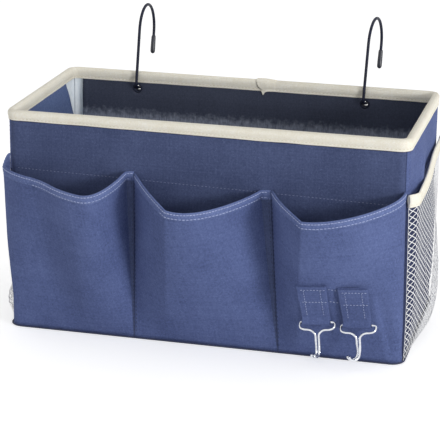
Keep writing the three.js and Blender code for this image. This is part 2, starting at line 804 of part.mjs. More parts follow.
function addKeyHolders() {
  const names = ["left", "right"];
  const angles = [leftKeyHookAngle, rightKeyHookAngle];
  tabCentres.forEach((centre, k) => {
    const plane = tabPlane(centre);
    const holder = new THREE.Group();
    holder.position.set(centre, plane.y, tabTop);
    holder.rotation.y = tabTilt;
    const strap = new THREE.Group();
    strap.rotation.x = -plane.lean;
    addMesh(strap, `key_tab_${names[k]}`, tabGeometry(), cloth);
    holder.add(strap);
    const eye = new THREE.Vector3(0, -keyLoopRadius, -tabLength).applyEuler(strap.rotation);
    const hook = new THREE.Group();
    hook.position.copy(eye);
    addMesh(hook, `key_hook_${names[k]}`, keyHookGeometry(angles[k]), chromeWire);
    holder.add(hook);
    caddy.add(holder);
  });
}

addWalls();
addRimTape();
addFrontPockets();
addNetPockets();
addHangers();
addKeyHolders();

export default caddy;
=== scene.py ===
# %% [markdown]
# # A bedside caddy, dressed piece by piece
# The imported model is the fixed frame: it knows where every piece sits and what turns. This lesson keeps
# that frame and makes the cloth, tape, net, thread and wire that the caddy shows. The helpers work in
# millimetres, as a sewing pattern does, and turn to metres when a mesh is written. +X is right, +Y towards
# the bed, +Z up.

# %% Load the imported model
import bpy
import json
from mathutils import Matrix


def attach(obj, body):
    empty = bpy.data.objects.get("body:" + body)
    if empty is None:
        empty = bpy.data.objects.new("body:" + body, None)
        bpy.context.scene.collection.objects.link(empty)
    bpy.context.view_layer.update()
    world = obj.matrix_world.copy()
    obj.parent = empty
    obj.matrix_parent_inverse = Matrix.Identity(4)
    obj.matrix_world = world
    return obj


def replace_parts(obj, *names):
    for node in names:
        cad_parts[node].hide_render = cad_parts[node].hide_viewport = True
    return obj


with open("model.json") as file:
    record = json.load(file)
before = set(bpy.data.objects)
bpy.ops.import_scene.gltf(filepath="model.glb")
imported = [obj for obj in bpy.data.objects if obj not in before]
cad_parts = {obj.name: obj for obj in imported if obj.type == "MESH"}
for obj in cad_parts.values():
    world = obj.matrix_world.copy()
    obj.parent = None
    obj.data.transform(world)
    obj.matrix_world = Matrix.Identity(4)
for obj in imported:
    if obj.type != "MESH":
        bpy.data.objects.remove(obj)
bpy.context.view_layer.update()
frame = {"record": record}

import json
import math
from itertools import accumulate

import bmesh
import bpy
from mathutils import Matrix, Quaternion, Vector, noise

MM = 0.001

# %% [markdown]
# ## The camera
# The view is from the front, a little from the right and from above, through a long lens. The numbers come
# from fitting the rim and the base of the box to the picture's frame, so the camera comes first and stays.

# %% Camera
CAMERA = {"azimuth": 14.0, "elevation": 17.79, "roll": 0.64, "distance": 1.5184, "lens": 151.1}
CAMERA_TARGET = Vector((-0.00575, 0.0, 0.07883))


def add_object(name, data):
    thing = bpy.data.objects.new(name, data)
    bpy.context.scene.collection.objects.link(thing)
    return thing


def aim(thing, place, direction, roll=0.0):
    thing.location = place
    thing.rotation_mode = "QUATERNION"
    thing.rotation_quaternion = direction.to_track_quat("-Z", "Y") @ Quaternion((0, 0, 1), math.radians(roll))


def make_camera():
    azimuth, elevation = math.radians(CAMERA["azimuth"]), math.radians(CAMERA["elevation"])
    level = math.cos(elevation)
    back = Vector((math.sin(azimuth) * level, -math.cos(azimuth) * level, math.sin(elevation)))
    data = bpy.data.cameras.new("camera")
    data.lens = CAMERA["lens"]
    data.sensor_width = 36.0
    data.clip_end = 50.0
    camera = add_object("camera", data)
    aim(camera, CAMERA_TARGET + back * CAMERA["distance"], -back, CAMERA["roll"])
    bpy.context.scene.camera = camera


make_camera()
print("camera", [round(x, 3) for x in bpy.context.scene.camera.location])

# %% [markdown]
# ## Shared effects for the finishes
# Cloth, lining and tape are all woven, so the weave is one node group that each finish places with its own
# thread size. It reads the UV map, which every cloth piece here has in millimetres, and puts out the height
# of the threads and a tone that differs from thread to thread. A second group gives slow, soft mottling.


# %% Node helpers
def feed(tree, socket, value):
    """Links a socket to another node's output, or sets it to a number or a colour."""
    if isinstance(value, bpy.types.NodeSocket):
        tree.links.new(value, socket)
    else:
        socket.default_value = value


def fill(tree, node, **inputs):
    """Feeds a node's inputs by name; an underscore stands for a space."""
    for label, value in inputs.items():
        feed(tree, node.inputs[label.replace("_", " ")], value)
    return node


def new_node(tree, kind, **inputs):
    return fill(tree, tree.nodes.new(f"ShaderNode{kind}"), **inputs)


def math_node(tree, operation, *values):
    node = new_node(tree, "Math")
    node.operation = operation
    for socket, value in zip(node.inputs, values):
        feed(tree, socket, value)
    return node.outputs[0]


def blend(tree, kind, factor, low, high):
    """A mix of two numbers or, where kind is RGBA, of two colours."""
    node = new_node(tree, "Mix")
    node.data_type = kind
    for socket, value in zip((s for s in node.inputs if s.enabled), (factor, low, high)):
        feed(tree, socket, value)
    return next(s for s in node.outputs if s.enabled)


def ramp(tree, value, low, high, kind="LINEAR"):
    node = new_node(tree, "MapRange", Value=value, From_Min=low, From_Max=high)
    node.interpolation_type = kind
    return node.outputs["Result"]


def new_group(name, size, *results):
    """A node group that takes a vector and one number, and gives the named numbers."""
    group = bpy.data.node_groups.new(name, "ShaderNodeTree")
    for label, kind in (("Vector", "NodeSocketVector"), (size, "NodeSocketFloat")):
        group.interface.new_socket(name=label, in_out="INPUT", socket_type=kind)
    for label in results:
        group.interface.new_socket(name=label, in_out="OUTPUT", socket_type="NodeSocketFloat")
    return group, group.nodes.new("NodeGroupInput").outputs, group.nodes.new("NodeGroupOutput")


# %% The weave group
def make_weave_group():
    group, given, result = new_group("plain_weave", "Pitch", "Height", "Tone")
    split = new_node(group, "SeparateXYZ", Vector=given["Vector"])
    rounds, tones, total = [], [], 0.0
    for axis, shift in (("X", 0.37), ("Y", 91.73)):
        place = math_node(group, "DIVIDE", split.outputs[axis], given["Pitch"])
        wave = math_node(group, "SINE", math_node(group, "MULTIPLY", place, math.pi))
        rounds.append(math_node(group, "ABSOLUTE", wave))
        index = math_node(group, "FLOOR", place)
        random = group.nodes.new("ShaderNodeTexWhiteNoise")
        random.noise_dimensions = "1D"
        tones.append(fill(group, random, W=math_node(group, "ADD", index, shift)).outputs["Value"])
        total = math_node(group, "ADD", index, total)
    over = math_node(group, "MODULO", math_node(group, "ABSOLUTE", total), 2.0)
    height, tone = (blend(group, "FLOAT", over, weft, warp) for warp, weft in (rounds, tones))
    fill(group, result, Height=height, Tone=tone)
    return group


# %% The mottling group
def make_mottle_group():
    group, given, result = new_group("soft_mottle", "Scale", "Value")
    cloud = new_node(
        group, "TexNoise", Vector=given["Vector"], Scale=given["Scale"], Detail=4.0, Roughness=0.55)
    fill(group, result, Value=ramp(group, cloud.outputs["Fac"], 0.3, 0.7))
    return group


WEAVE = make_weave_group()
MOTTLE = make_mottle_group()
print("node groups:", [g.name for g in bpy.data.node_groups])

# %% [markdown]
# ## The woven finishes
# Oxford cloth is a plain weave of thick threads with a dry, matt look; the lining is the same idea, finer
# and coated, so it has some gloss and pale upright streaks in a band across the wall; the tape is cream, of
# thicker threads. One function makes them all: dark and light tones of one colour, mixed by thread, grain
# and mottling, with a few pale flecks where a fibre stands up, and a bump. Hems take a paler copy of the
# cloth, which is painted highlight on their folded band.
# The front and rear walls and the tucks of the pockets take a deeper copy of the cloth, which is painted
# shade, and the walls behind the nets, most of all, a deeper one still, painted shade for the net's shadow.


# %% Colour and material helpers
def rgb(red, green, blue):
    """A colour as a screen shows it, 0 to 255, in the linear numbers that a shader takes."""
    channels = [c / 255 for c in (red, green, blue)]
    return [c / 12.92 if c <= 0.04045 else ((c + 0.055) / 1.055) ** 2.4 for c in channels] + [1.0]


def new_material(name):
    material = bpy.data.materials.new(name)
    material.use_nodes = True
    tree = material.node_tree
    shader = next(n for n in tree.nodes if n.type == "BSDF_PRINCIPLED")
    return material, tree, shader


def coordinates(tree, kind):
    return new_node(tree, "TexCoord").outputs[kind]


def place_group(tree, group, vector, **size):
    node = new_node(tree, "Group")
    node.node_tree = group
    return fill(tree, node, Vector=vector, **size).outputs


def add_bump(tree, shader, height, distance):
    bump = new_node(tree, "Bump", Distance=distance, Strength=1.0, Height=height)
    fill(tree, shader, Normal=bump.outputs["Normal"])


# %% Woven cloth
GRAIN_SCALE, FLECK_SCALE, FLECK_FROM = 620.0, 1300.0, 0.72
THREAD_SHARE, GRAIN_SHARE, MOTTLE_SHARE, FLECK_SHARE = 0.2, 0.38, 0.27, 0.6
OXFORD_WEAVE = {"pitch": 0.62, "roughness": 0.85, "mottle_scale": 26.0, "bump": 0.00012}
LINING_WEAVE = {"pitch": 0.5, "roughness": 0.6, "mottle_scale": 18.0, "bump": 0.00006}
TAPE_WEAVE = {"pitch": 0.8, "roughness": 0.85, "mottle_scale": 60.0, "bump": 0.00014}


def woven_material(name, dark, light, pitch, roughness, mottle_scale, bump):
    material, tree, shader = new_material(name)
    weave = place_group(tree, WEAVE, coordinates(tree, "UV"), Pitch=pitch)
    place = coordinates(tree, "Object")
    mottle, grain, fine = (
        place_group(tree, MOTTLE, place, Scale=scale)["Value"]
        for scale in (mottle_scale, GRAIN_SCALE, FLECK_SCALE))
    tone = 0.0
    for value, share in (
            (weave["Tone"], THREAD_SHARE), (grain, GRAIN_SHARE), (mottle, MOTTLE_SHARE),
            (ramp(tree, fine, FLECK_FROM, 1.0), FLECK_SHARE)):
        tone = math_node(tree, "MULTIPLY_ADD", value, share, tone)
    colour = blend(tree, "RGBA", tone, rgb(*dark), rgb(*light))
    fill(tree, shader, Base_Color=colour, Roughness=roughness, Specular_IOR_Level=0.15)
    add_bump(tree, shader, weave["Height"], bump)
    return material


navy_cloth, painted_highlight_hem_cloth, painted_shade_cloth, painted_net_shade_cloth, painted_light_side_lining, tape_cloth = (
    woven_material(name, dark, light, **weave)
    for name, dark, light, weave in (
        ("navy_oxford_cloth", (66, 78, 121), (112, 127, 177), OXFORD_WEAVE),
        # A paler copy of the cloth for the hems, painted highlight.
        ("navy_oxford_hem_painted_highlight", (75, 89, 136), (128, 144, 193), OXFORD_WEAVE),
        # A deeper copy of the cloth, painted shade: front and rear walls and the pockets' tucks.
        ("navy_oxford_painted_shade", (58, 68, 102), (94, 106, 145), OXFORD_WEAVE),
        # The deepest copy, painted shade for the net's shadow on the side walls.
        ("navy_oxford_painted_net_shade", (42, 49, 82), (70, 80, 118), OXFORD_WEAVE),
        # A paler lining for the ends, whose paleness is painted light.
        ("navy_side_lining", (75, 92, 132), (114, 133, 180), LINING_WEAVE),
        ("cream_binding_tape", (241, 234, 214), (255, 253, 245), TAPE_WEAVE)))
print("woven finishes:", len(bpy.data.materials))

# %% [markdown]
# The lining takes one thing more: it is pale in fine upright streaks, in a band across the
# wall. Noise that is squeezed sideways and stretched along Z gives streaks, and two ramps on height limit
# them.

# %% Coated lining
STREAK_SQUEEZE = (900.0, 900.0, 150.0)
STREAK_TOP, STREAK_FADE, STREAK_UNEVEN = (0.152, 0.141), (0.075, 0.125), 0.006


def make_lining_material():
    weave = {**LINING_WEAVE, "roughness": 0.5}
    material = woven_material("navy_coated_lining", (53, 58, 74), (76, 82, 101), **weave)
    tree = material.node_tree
    colour = next(n for n in tree.nodes if n.type == "BSDF_PRINCIPLED").inputs["Base Color"]
    place = coordinates(tree, "Object")
    squeeze = new_node(tree, "Mapping", Vector=place, Scale=STREAK_SQUEEZE)
    streak = new_node(
        tree, "TexNoise", Vector=squeeze.outputs["Vector"], Scale=1.0, Detail=5.0, Roughness=0.7)
    sharp = ramp(tree, streak.outputs["Fac"], 0.38, 0.78)
    height = new_node(tree, "SeparateXYZ", Vector=place).outputs["Z"]
    border = place_group(tree, MOTTLE, place, Scale=240.0)["Value"]
    uneven = math_node(tree, "MULTIPLY_ADD", border, STREAK_UNEVEN, height)
    pale_streaks = math_node(tree, "MULTIPLY_ADD", sharp, 0.65, 0.35)
    pale_streaks = math_node(tree, "MULTIPLY", pale_streaks, ramp(tree, uneven, *STREAK_TOP, "SMOOTHSTEP"))
    pale_streaks = math_node(tree, "MULTIPLY", pale_streaks, ramp(tree, uneven, *STREAK_FADE))
    feed(tree, colour, blend(tree, "RGBA", pale_streaks, colour.links[0].from_socket, rgb(176, 184, 202)))
    return material


lining_cloth = make_lining_material()
print("lining finish:", lining_cloth.name)

# %% [markdown]
# ## Yarn, thread, wire and board
# The net is a white cotton-like yarn, so it is matt with a fuzzy bump. Sewing thread is smoother. The
# hanger wire and the eyelets have a dark, rather matt coat and the tips a smoother one, the key hooks are
# bright plated wire whose gloss varies a little with fine rubbing, and the stiffener is a plain white
# plastic board with a faint grain.


# %% Plain finishes
def noise_material(name, dark, light, scale, roughness, bump, metallic=0.0, coat=0.0, specular=0.5):
    material, tree, shader = new_material(name)
    mottle = place_group(tree, MOTTLE, coordinates(tree, "Object"), Scale=scale)["Value"]
    fill(
        tree, shader, Base_Color=blend(tree, "RGBA", mottle, rgb(*dark), rgb(*light)),
        Roughness=blend(tree, "FLOAT", mottle, roughness * 0.85, roughness * 1.15),
        Metallic=metallic, Specular_IOR_Level=specular, Coat_Weight=coat, Coat_Roughness=0.25)
    add_bump(tree, shader, mottle, bump)
    return material


net_yarn = noise_material("white_net_yarn", (222, 223, 226), (247, 247, 247), 1500.0, 0.85, 0.00008)
pale_thread = noise_material("pale_blue_thread", (158, 170, 212), (206, 214, 240), 900.0, 0.6, 0.00003)
grey_thread = noise_material("grey_blue_thread", (116, 126, 158), (152, 160, 188), 900.0, 0.6, 0.00003)
# Also the dark rolls under the rim tape and round the foot, which are painted shade.
navy_thread_and_painted_shade = noise_material("navy_thread_and_painted_shade", (30, 36, 62), (46, 54, 88), 900.0, 0.7, 0.00003)
cream_thread = noise_material("cream_thread", (212, 202, 178), (240, 233, 214), 900.0, 0.65, 0.00003)
wire_coat = noise_material(
    "dark_coated_wire", (16, 19, 34), (30, 35, 58), 240.0, 0.55, 0.00002, specular=0.25)
eyelet_coat = noise_material(
    "dark_painted_eyelet", (26, 29, 44), (44, 49, 68), 300.0, 0.6, 0.00002, specular=0.2)
tip_coat = noise_material("dark_dipped_tip", (15, 17, 28), (27, 31, 48), 160.0, 0.42, 0.00004, coat=0.2)
bright_wire = noise_material(
    "bright_plated_wire", (205, 208, 214), (236, 238, 242), 420.0, 0.16, 0.000008, metallic=1.0)
white_board = noise_material("white_stiffener_board", (230, 240, 248), (244, 250, 255), 320.0, 0.5, 0.00003)
print("finishes:", len(bpy.data.materials))

# %% [markdown]
# ## Helpers for cloth
# A sheet of cloth starts as a flat grid. Each point of the grid is then carried to its place by a function
# of u, left to right as seen from the outside, and v, upwards. The UV map gets the lengths along the placed
# grid, in millimetres, so a weave keeps its size on any piece. Solidify gives the thickness, behind the
# shown side.


# %% From a grid to a sheet
def steps(first, last, count):
    return [first + (last - first) * k / count for k in range(count + 1)]


def mix(low, high, share):
    return low + (high - low) * share


def smooth_step(low, high, value):
    share = min(max((value - low) / (high - low), 0.0), 1.0)
    return share * share * (3 - 2 * share)


def run_lengths(points):
    """How far along the line through them each of the points lies."""
    return [0.0, *accumulate((b - a).length for a, b in zip(points, points[1:]))]


def grid_mesh(columns, rows, place, closed=False, finish=None):
    """A placed grid in metres with its UV map in millimetres; returns it with its width, length and area.
    Where finish is given, finish(column, row) is the number of a face's material."""
    bm = bmesh.new()
    across, upward = len(columns) - 1, len(rows) - 1
    bmesh.ops.create_grid(bm, x_segments=across, y_segments=upward, size=1.0)
    points = [[place(u, v) for u in columns] for v in rows]
    runs = [run_lengths(row) for row in points]
    rises = [run_lengths(column) for column in zip(*points)]
    layer = bm.loops.layers.uv.new("UVMap")
    if finish:
        for face in bm.faces:
            middle = face.calc_center_median()
            face.material_index = finish(int((middle.x + 1) / 2 * across), int((middle.y + 1) / 2 * upward))
    for vert in bm.verts:
        i, j = round((vert.co.x + 1) / 2 * across), round((vert.co.y + 1) / 2 * upward)
        vert.co = points[j][i] * MM
        for loop in vert.link_loops:
            loop[layer].uv = (runs[j][i], rises[i][j])
    if closed:
        bmesh.ops.remove_doubles(bm, verts=bm.verts, dist=1e-6)
    width, length = (max(line[-1] for line in lines) * MM for lines in (runs, rises))
    return bm, (width, length, sum(face.calc_area() for face in bm.faces))


def mesh_from(name, bm):
    mesh = bpy.data.meshes.new(name)
    bm.to_mesh(mesh)
    bm.free()
    return mesh


def new_object(name, bm, materials, body, smooth=True):
    mesh = mesh_from(name, bm)
    for material in materials:
        mesh.materials.append(material)
    mesh.polygons.foreach_set("use_smooth", [smooth] * len(mesh.polygons))
    piece = add_object(name, mesh)
    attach(piece, body)
    return piece


def make_sheet(name, grid, materials, thickness, node, share=1.0, even=True):
    """Makes a cloth piece of a grid, hides the imported solid that it stands for and prints how large the
    cloth was cut; share is the part of it that is yarn, where it is full of holes."""
    bm, (width, length, area) = grid
    piece = new_object(name, bm, materials, "caddy")
    solid = piece.modifiers.new("thickness", "SOLIDIFY")
    solid.thickness = thickness * MM
    solid.offset = -1.0
    solid.use_even_offset = even
    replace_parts(piece, node)
    area = share * min(area, width * length)
    print(f"{name}: cut {width * 1000:.0f} x {length * 1000:.0f} mm, {area * 1e4:.0f} cm2")


def cloth_normal(place, u, v):
    step = 1e-3
    run = place(min(u + step, 1.0), v) - place(max(u - step, 0.0), v)
    rise = place(u, min(v + step, 1.0)) - place(u, max(v - step, 0.0))
    return run.cross(rise).normalized()


def ripple(x, z, size, seed):
    return noise.noise(Vector((x / size, z / size, seed)))


def hump(value, middle, width):
    return math.exp(-((value - middle) / width) ** 2)


# %% [markdown]
# ## Stitches
# A row of stitches is what makes cloth look sewn. Each stitch is a small grain of thread that lies on the
# cloth along the row, with a gap to the next. An icosphere of twenty faces, stretched, is enough for a
# grain, because there are hundreds of them.


# %% A row of stitches
def stitch_row(bm, spots, pitch, length, width):
    """Adds a grain at every pitch along spots, a list of (point, outward normal) in millimetres."""
    size = Matrix.Diagonal((length, width, width, 1.0))
    travelled, wanted, made = 0.0, pitch / 2, 0
    for (start, start_normal), (end, end_normal) in zip(spots, spots[1:]):
        run, along = (end - start).length, (end - start).normalized()
        while run > 0 and wanted <= travelled + run:
            share = (wanted - travelled) / run
            side = start_normal.lerp(end_normal, share).cross(along).normalized()
            turn = Matrix((along, side, along.cross(side).normalized())).transposed().to_4x4()
            place = Matrix.Scale(MM, 4) @ Matrix.Translation(start.lerp(end, share)) @ turn @ size
            bmesh.ops.create_icosphere(bm, subdivisions=1, radius=0.5, matrix=place)
            wanted += pitch
            made += 1
        travelled += run
    return made


def stitches(name, rows, material, pitch=3.1, length=2.3, width=0.5):
    bm = bmesh.new()
    made = sum(stitch_row(bm, spots, pitch, length, width) for spots in rows)
    new_object(name, bm, [material], "caddy")
    print(f"{name}: {made} stitches")


def row_on(face, shares, lift):
    """Spots on a face at (u, v) shares, lifted along the normal."""
    return [(face(*at) + normal * lift, normal) for at in shares for normal in [cloth_normal(face, *at)]]


# %% [markdown]
# ## The sewn box
# Four panels of oxford cloth stand round the boards and meet at seams in the rounded corners. A wall is
# drawn as if it were the front and turned to its side. The panel is drawn in a little at each seam, as
# sewing does, and the stretches between swell and dip softly, because cloth over a board is never quite
# flat. The right wall has one soft upright fold, left from folding the caddy flat, and stands out a little
# towards the rear.

# %% Walls of the box
BOX_WIDTH, BOX_DEPTH = 320.0, 160.0
CORNER = 9.0
WALL_TOP, WALL_FOOT, LINING_FOOT = 178.9, 1.3, 3.6
SEAM_GAP = 0.15
COLUMN_STEP, CORNER_STEPS = 3.2, 8
SIDES = {
    "front": (BOX_WIDTH, BOX_DEPTH / 2, 0.0),
    "right": (BOX_DEPTH, BOX_WIDTH / 2, math.pi / 2),
    "back": (BOX_WIDTH, BOX_DEPTH / 2, math.pi),
    "left": (BOX_DEPTH, BOX_WIDTH / 2, -math.pi / 2),
}


def seam_place(side):
    return SIDES[side][0] / 2 - CORNER + CORNER * math.pi / 4


def beside_wall(side, along, gap, z=0.0):
    """A point beside a wall at a distance along it from its middle, following the rounded corners."""
    length, offset, turn = SIDES[side]
    reach = length / 2 - CORNER
    past = max(abs(along) - reach, 0.0) / CORNER
    x = math.copysign(min(abs(along), reach) + (CORNER + gap) * math.sin(past), along)
    y = CORNER - offset - (CORNER + gap) * math.cos(past)
    return Vector((x * math.cos(turn) - y * math.sin(turn), x * math.sin(turn) + y * math.cos(turn), z))


def wall_columns(side, first, last):
    """Steps along a wall, close together round the corners."""
    reach = SIDES[side][0] / 2 - CORNER
    flat = steps(max(first, -reach), min(last, reach), round(SIDES[side][0] / COLUMN_STEP))
    before = steps(first, -reach, CORNER_STEPS)[:-1] if first < -reach else []
    after = steps(reach, last, CORNER_STEPS)[1:] if last > reach else []
    return before + flat + after


# %% Outer panels
PANEL_SWELL = {"front": 1.3, "right": 1.6, "back": 0.9, "left": 1.6}
PANEL_SEEDS = {"front": 1.0, "right": 2.0, "back": 3.0, "left": 4.0}
PANEL_ROWS, NET_SHADE_ROWS, PANEL_THICKNESS = 46, 34, 0.9
SEAM_DRAW, SEAM_REACH = 0.55, 1.6
SOFT_FOLD, FOLD_SLANT, REAR_BULGE = -33.0, 0.06, 48.0


def panel_gap(side, along, z):
    """How far the cloth stands off the wall's flat line."""
    near_seam = seam_place(side) - abs(along)
    free = smooth_step(4.0, 26.0, near_seam) * smooth_step(4.0, 40.0, z) * smooth_step(178.0, 166.0, z)
    slow = ripple(along, z * 0.3, 62.0, PANEL_SEEDS[side])
    fold = ripple(along, z * 0.12, 17.0, PANEL_SEEDS[side] + 9.0) * smooth_step(120.0, 155.0, z)
    gap = free * PANEL_SWELL[side] * (0.35 + 0.6 * slow + 0.28 * fold)
    gap -= SEAM_DRAW * math.exp(-near_seam / SEAM_REACH)
    if side == "right":
        ridge = hump(along, SOFT_FOLD + FOLD_SLANT * (z - 140.0), 9.0)
        folded = 1.6 * ridge + 2.8 * hump(along, SOFT_FOLD, 30.0)
        gap += free * folded * smooth_step(70.0, 120.0, z) * smooth_step(170.0, 150.0, z)
        gap += free * 3.2 * hump(along, REAR_BULGE, 22.0) * smooth_step(125.0, 85.0, z)
    return gap


def make_outer_panel(side):
    seam = seam_place(side) - SEAM_GAP
    shares = [(c + seam) / (2 * seam) for c in wall_columns(side, -seam, seam)]
    behind_net = side in ("right", "left")

    def place(u, v):
        along, z = mix(-seam, seam, u), mix(WALL_FOOT, WALL_TOP, v)
        return beside_wall(side, along, panel_gap(side, along, z), z)

    # Below the nets' mouths the side walls take the deepest cloth, painted shade for the net's shadow.
    grid = grid_mesh(
        shares, steps(0, 1, PANEL_ROWS), place, finish=lambda i, j: int(behind_net and j < NET_SHADE_ROWS))
    # The front and rear walls take the deeper copy of the cloth, painted shade.
    make_sheet(
        f"cloth_{side}", grid, [navy_cloth, painted_net_shade_cloth] if behind_net else [painted_shade_cloth],
        PANEL_THICKNESS, f"outer_{side}_panel")
    return place


outer_faces = {side: make_outer_panel(side) for side in SIDES}

# %% [markdown]
# ## Holes for the hangers
# The rear panel and its lining are punched where the eyelets go through. A Boolean with a short cylinder
# does that, and it is applied so that the piece keeps a plain mesh.

# %% Punching
HANGER_SPAN, WALL_MIDDLE, EYELET_HEIGHT = 197.0, 78.0, 166.3
EYELET_HOLE, PUNCH_LENGTH = 3.3, 20.0
HANGER_SEATS = {
    side: Matrix.Translation((x, WALL_MIDDLE, EYELET_HEIGHT))
    for side, x in (("left", -HANGER_SPAN / 2), ("right", HANGER_SPAN / 2))}


def shaped_mesh(piece):
    """A piece's mesh with its modifiers applied."""
    bpy.context.view_layer.update()
    return bpy.data.meshes.new_from_object(piece.evaluated_get(bpy.context.evaluated_depsgraph_get()))


def punch(piece):
    bm = bmesh.new()
    for seat in HANGER_SEATS.values():
        bmesh.ops.create_cone(
            bm, cap_ends=True, segments=24, radius1=EYELET_HOLE, radius2=EYELET_HOLE, depth=PUNCH_LENGTH,
            matrix=Matrix.Scale(MM, 4) @ seat @ Matrix.Rotation(math.pi / 2, 4, "X"))
    cutter = add_object("punch", mesh_from("punch", bm))
    boolean = piece.modifiers.new("holes", "BOOLEAN")
    boolean.object = cutter
    boolean.operation = "DIFFERENCE"
    boolean.solver = "EXACT"
    shaped = shaped_mesh(piece)
    piece.modifiers.clear()
    piece.data = shaped
    bpy.data.objects.remove(cutter)
    print(f"{piece.name}: punched, {len(shaped.polygons)} faces")


punch(bpy.data.objects["cloth_back"])

# %% [markdown]
# ## The base
# Under the floor lies one more panel of the same cloth. A plain rectangle gets its corners from a vertex
# bevel, then it is extruded and its edges are rounded. A thin roll runs round it, where the wall, the
# pockets and the base are sewn together; its dark navy is painted shade for the line of shadow at the foot.


# %% Rounded plates
def rounded_plate(half_x, half_y, corner, low, high, rounding):
    bm = bmesh.new()
    bmesh.ops.create_grid(bm, x_segments=1, y_segments=1, size=1.0)
    for vert in bm.verts:
        vert.co = Vector((vert.co.x * half_x, vert.co.y * half_y, low)) * MM
    bmesh.ops.bevel(
        bm, geom=list(bm.verts), offset=corner * MM, affect="VERTICES", segments=8, profile=0.5, material=-1)
    raised = bmesh.ops.extrude_face_region(bm, geom=list(bm.faces))
    lifted = [e for e in raised["geom"] if isinstance(e, bmesh.types.BMVert)]
    bmesh.ops.translate(bm, verts=lifted, vec=(0, 0, (high - low) * MM))
    bmesh.ops.recalc_face_normals(bm, faces=bm.faces)
    rims = [e for e in bm.edges if abs(e.verts[0].co.z - e.verts[1].co.z) < 1e-7]
    bmesh.ops.bevel(
        bm, geom=rims, offset=rounding * MM, affect="EDGES", segments=3, profile=0.5, material=-1)
    layer = bm.loops.layers.uv.new("UVMap")
    for face in bm.faces:
        for loop in face.loops:
            loop[layer].uv = (loop.vert.co.x / MM, loop.vert.co.y / MM)
    return bm


base_bm = rounded_plate(BOX_WIDTH / 2, BOX_DEPTH / 2, CORNER, low=0.0, high=1.1, rounding=0.35)
base_cloth = new_object("cloth_base", base_bm, [navy_cloth], "caddy", smooth=False)
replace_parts(base_cloth, "outer_base_panel")
print("cloth_base:", len(base_cloth.data.polygons), "faces")


# %% Loops round the box
def rounded_loop(half_x, half_y, corner, start_x):
    """A walk round a rounded rectangle from a place on its rear side; at(share) gives point and normal."""
    bend = corner * math.pi / 2
    long_run, short_run = 2 * (half_x - corner), 2 * (half_y - corner)
    first_run = start_x + half_x - corner
    runs = [first_run, bend, short_run, bend, long_run, bend, short_run, bend, long_run - first_run]
    total = sum(runs)
    centres = [
        Vector((x * (half_x - corner), y * (half_y - corner), 0))
        for x, y in ((-1, 1), (-1, -1), (1, -1), (1, 1))]
    ways = [Vector((x, y, 0)) for x, y in ((-1, 0), (0, -1), (1, 0), (0, 1), (-1, 0))]
    starts = [Vector((start_x, half_y, 0))]
    starts += [centre + Vector((way.y, -way.x, 0)) * corner for centre, way in zip(centres, ways[1:])]

    def at(share):
        left = share * total
        for k, run in enumerate(runs):
            if left <= run or k == len(runs) - 1:
                break
            left -= run
        if k % 2 == 0:
            way = ways[k // 2]
            return starts[k // 2] + way * left, Vector((way.y, -way.x, 0))
        angle = math.pi / 2 * (1 + k // 2) + left / corner
        normal = Vector((math.cos(angle), math.sin(angle), 0))
        return centres[k // 2] + normal * corner, normal

    return at, runs, total


def loop_shares(runs, total, spacing, bend_steps):
    """Shares along a loop: even on the straight runs, and a fixed number of steps round each corner."""
    shares, travelled = [0.0], 0.0
    for k, run in enumerate(runs):
        count = bend_steps if k % 2 else max(round(run / spacing), 1)
        shares += [(travelled + run * n / count) / total for n in range(1, count + 1)]
        travelled += run
    return shares


# %% Rolled seams, dark as painted shade
def make_roll(name, grow, level, radius, seed):
    """A thin dark roll round the box, outside its wall, whose darkness is painted shade; level(point) is its
    height there.
    """
    at, runs, total = rounded_loop(BOX_WIDTH / 2 + grow, BOX_DEPTH / 2 + grow, CORNER + grow, 0.0)

    def place(u, v):
        point, normal = at(u)
        angle = 2 * math.pi * v
        wobble = 1 + 0.15 * ripple(point.x, point.y, 9.0, seed)
        out = radius * wobble * math.cos(angle)
        return point + normal * out + Vector((0, 0, level(point) + radius * math.sin(angle)))

    bm, _ = grid_mesh(loop_shares(runs, total, 4.0, 6), steps(0, 1, 10), place, closed=True)
    piece = new_object(name, bm, [navy_thread_and_painted_shade], "caddy")
    print(f"{name}:", len(piece.data.polygons), "faces")


# Dark as painted shade along the foot of the walls.
make_roll("painted_shade_base_roll", grow=1.0, level=lambda point: 1.0, radius=0.9, seed=5.0)

# %% [markdown]
# ## The lining
# The lining shows its inner side, so its grid runs the other way round and its thickness lies towards the
# board. It hangs a little slack. The long walls have the coated lining, the ends a paler plain one, whose
# paleness is painted light. At the rear left corner it is left open, where the boards slide in, and its two
# cut edges stand up slightly, the left one slanting: the white board shows between them.

# %% Lining panels
LINING_SPANS = {"left": (-55.0, None), "back": (None, 148.0)}
LINING_SEEDS = {"front": 11.0, "right": 12.0, "back": 13.0, "left": 14.0}
LINING_GAP, LINING_THICKNESS, CUT_EDGE_STAND = 3.95, 0.7, 0.9
LEFT_EDGE, LEFT_EDGE_HEIGHTS = (-53.0, -74.0), (176.0, 128.0)


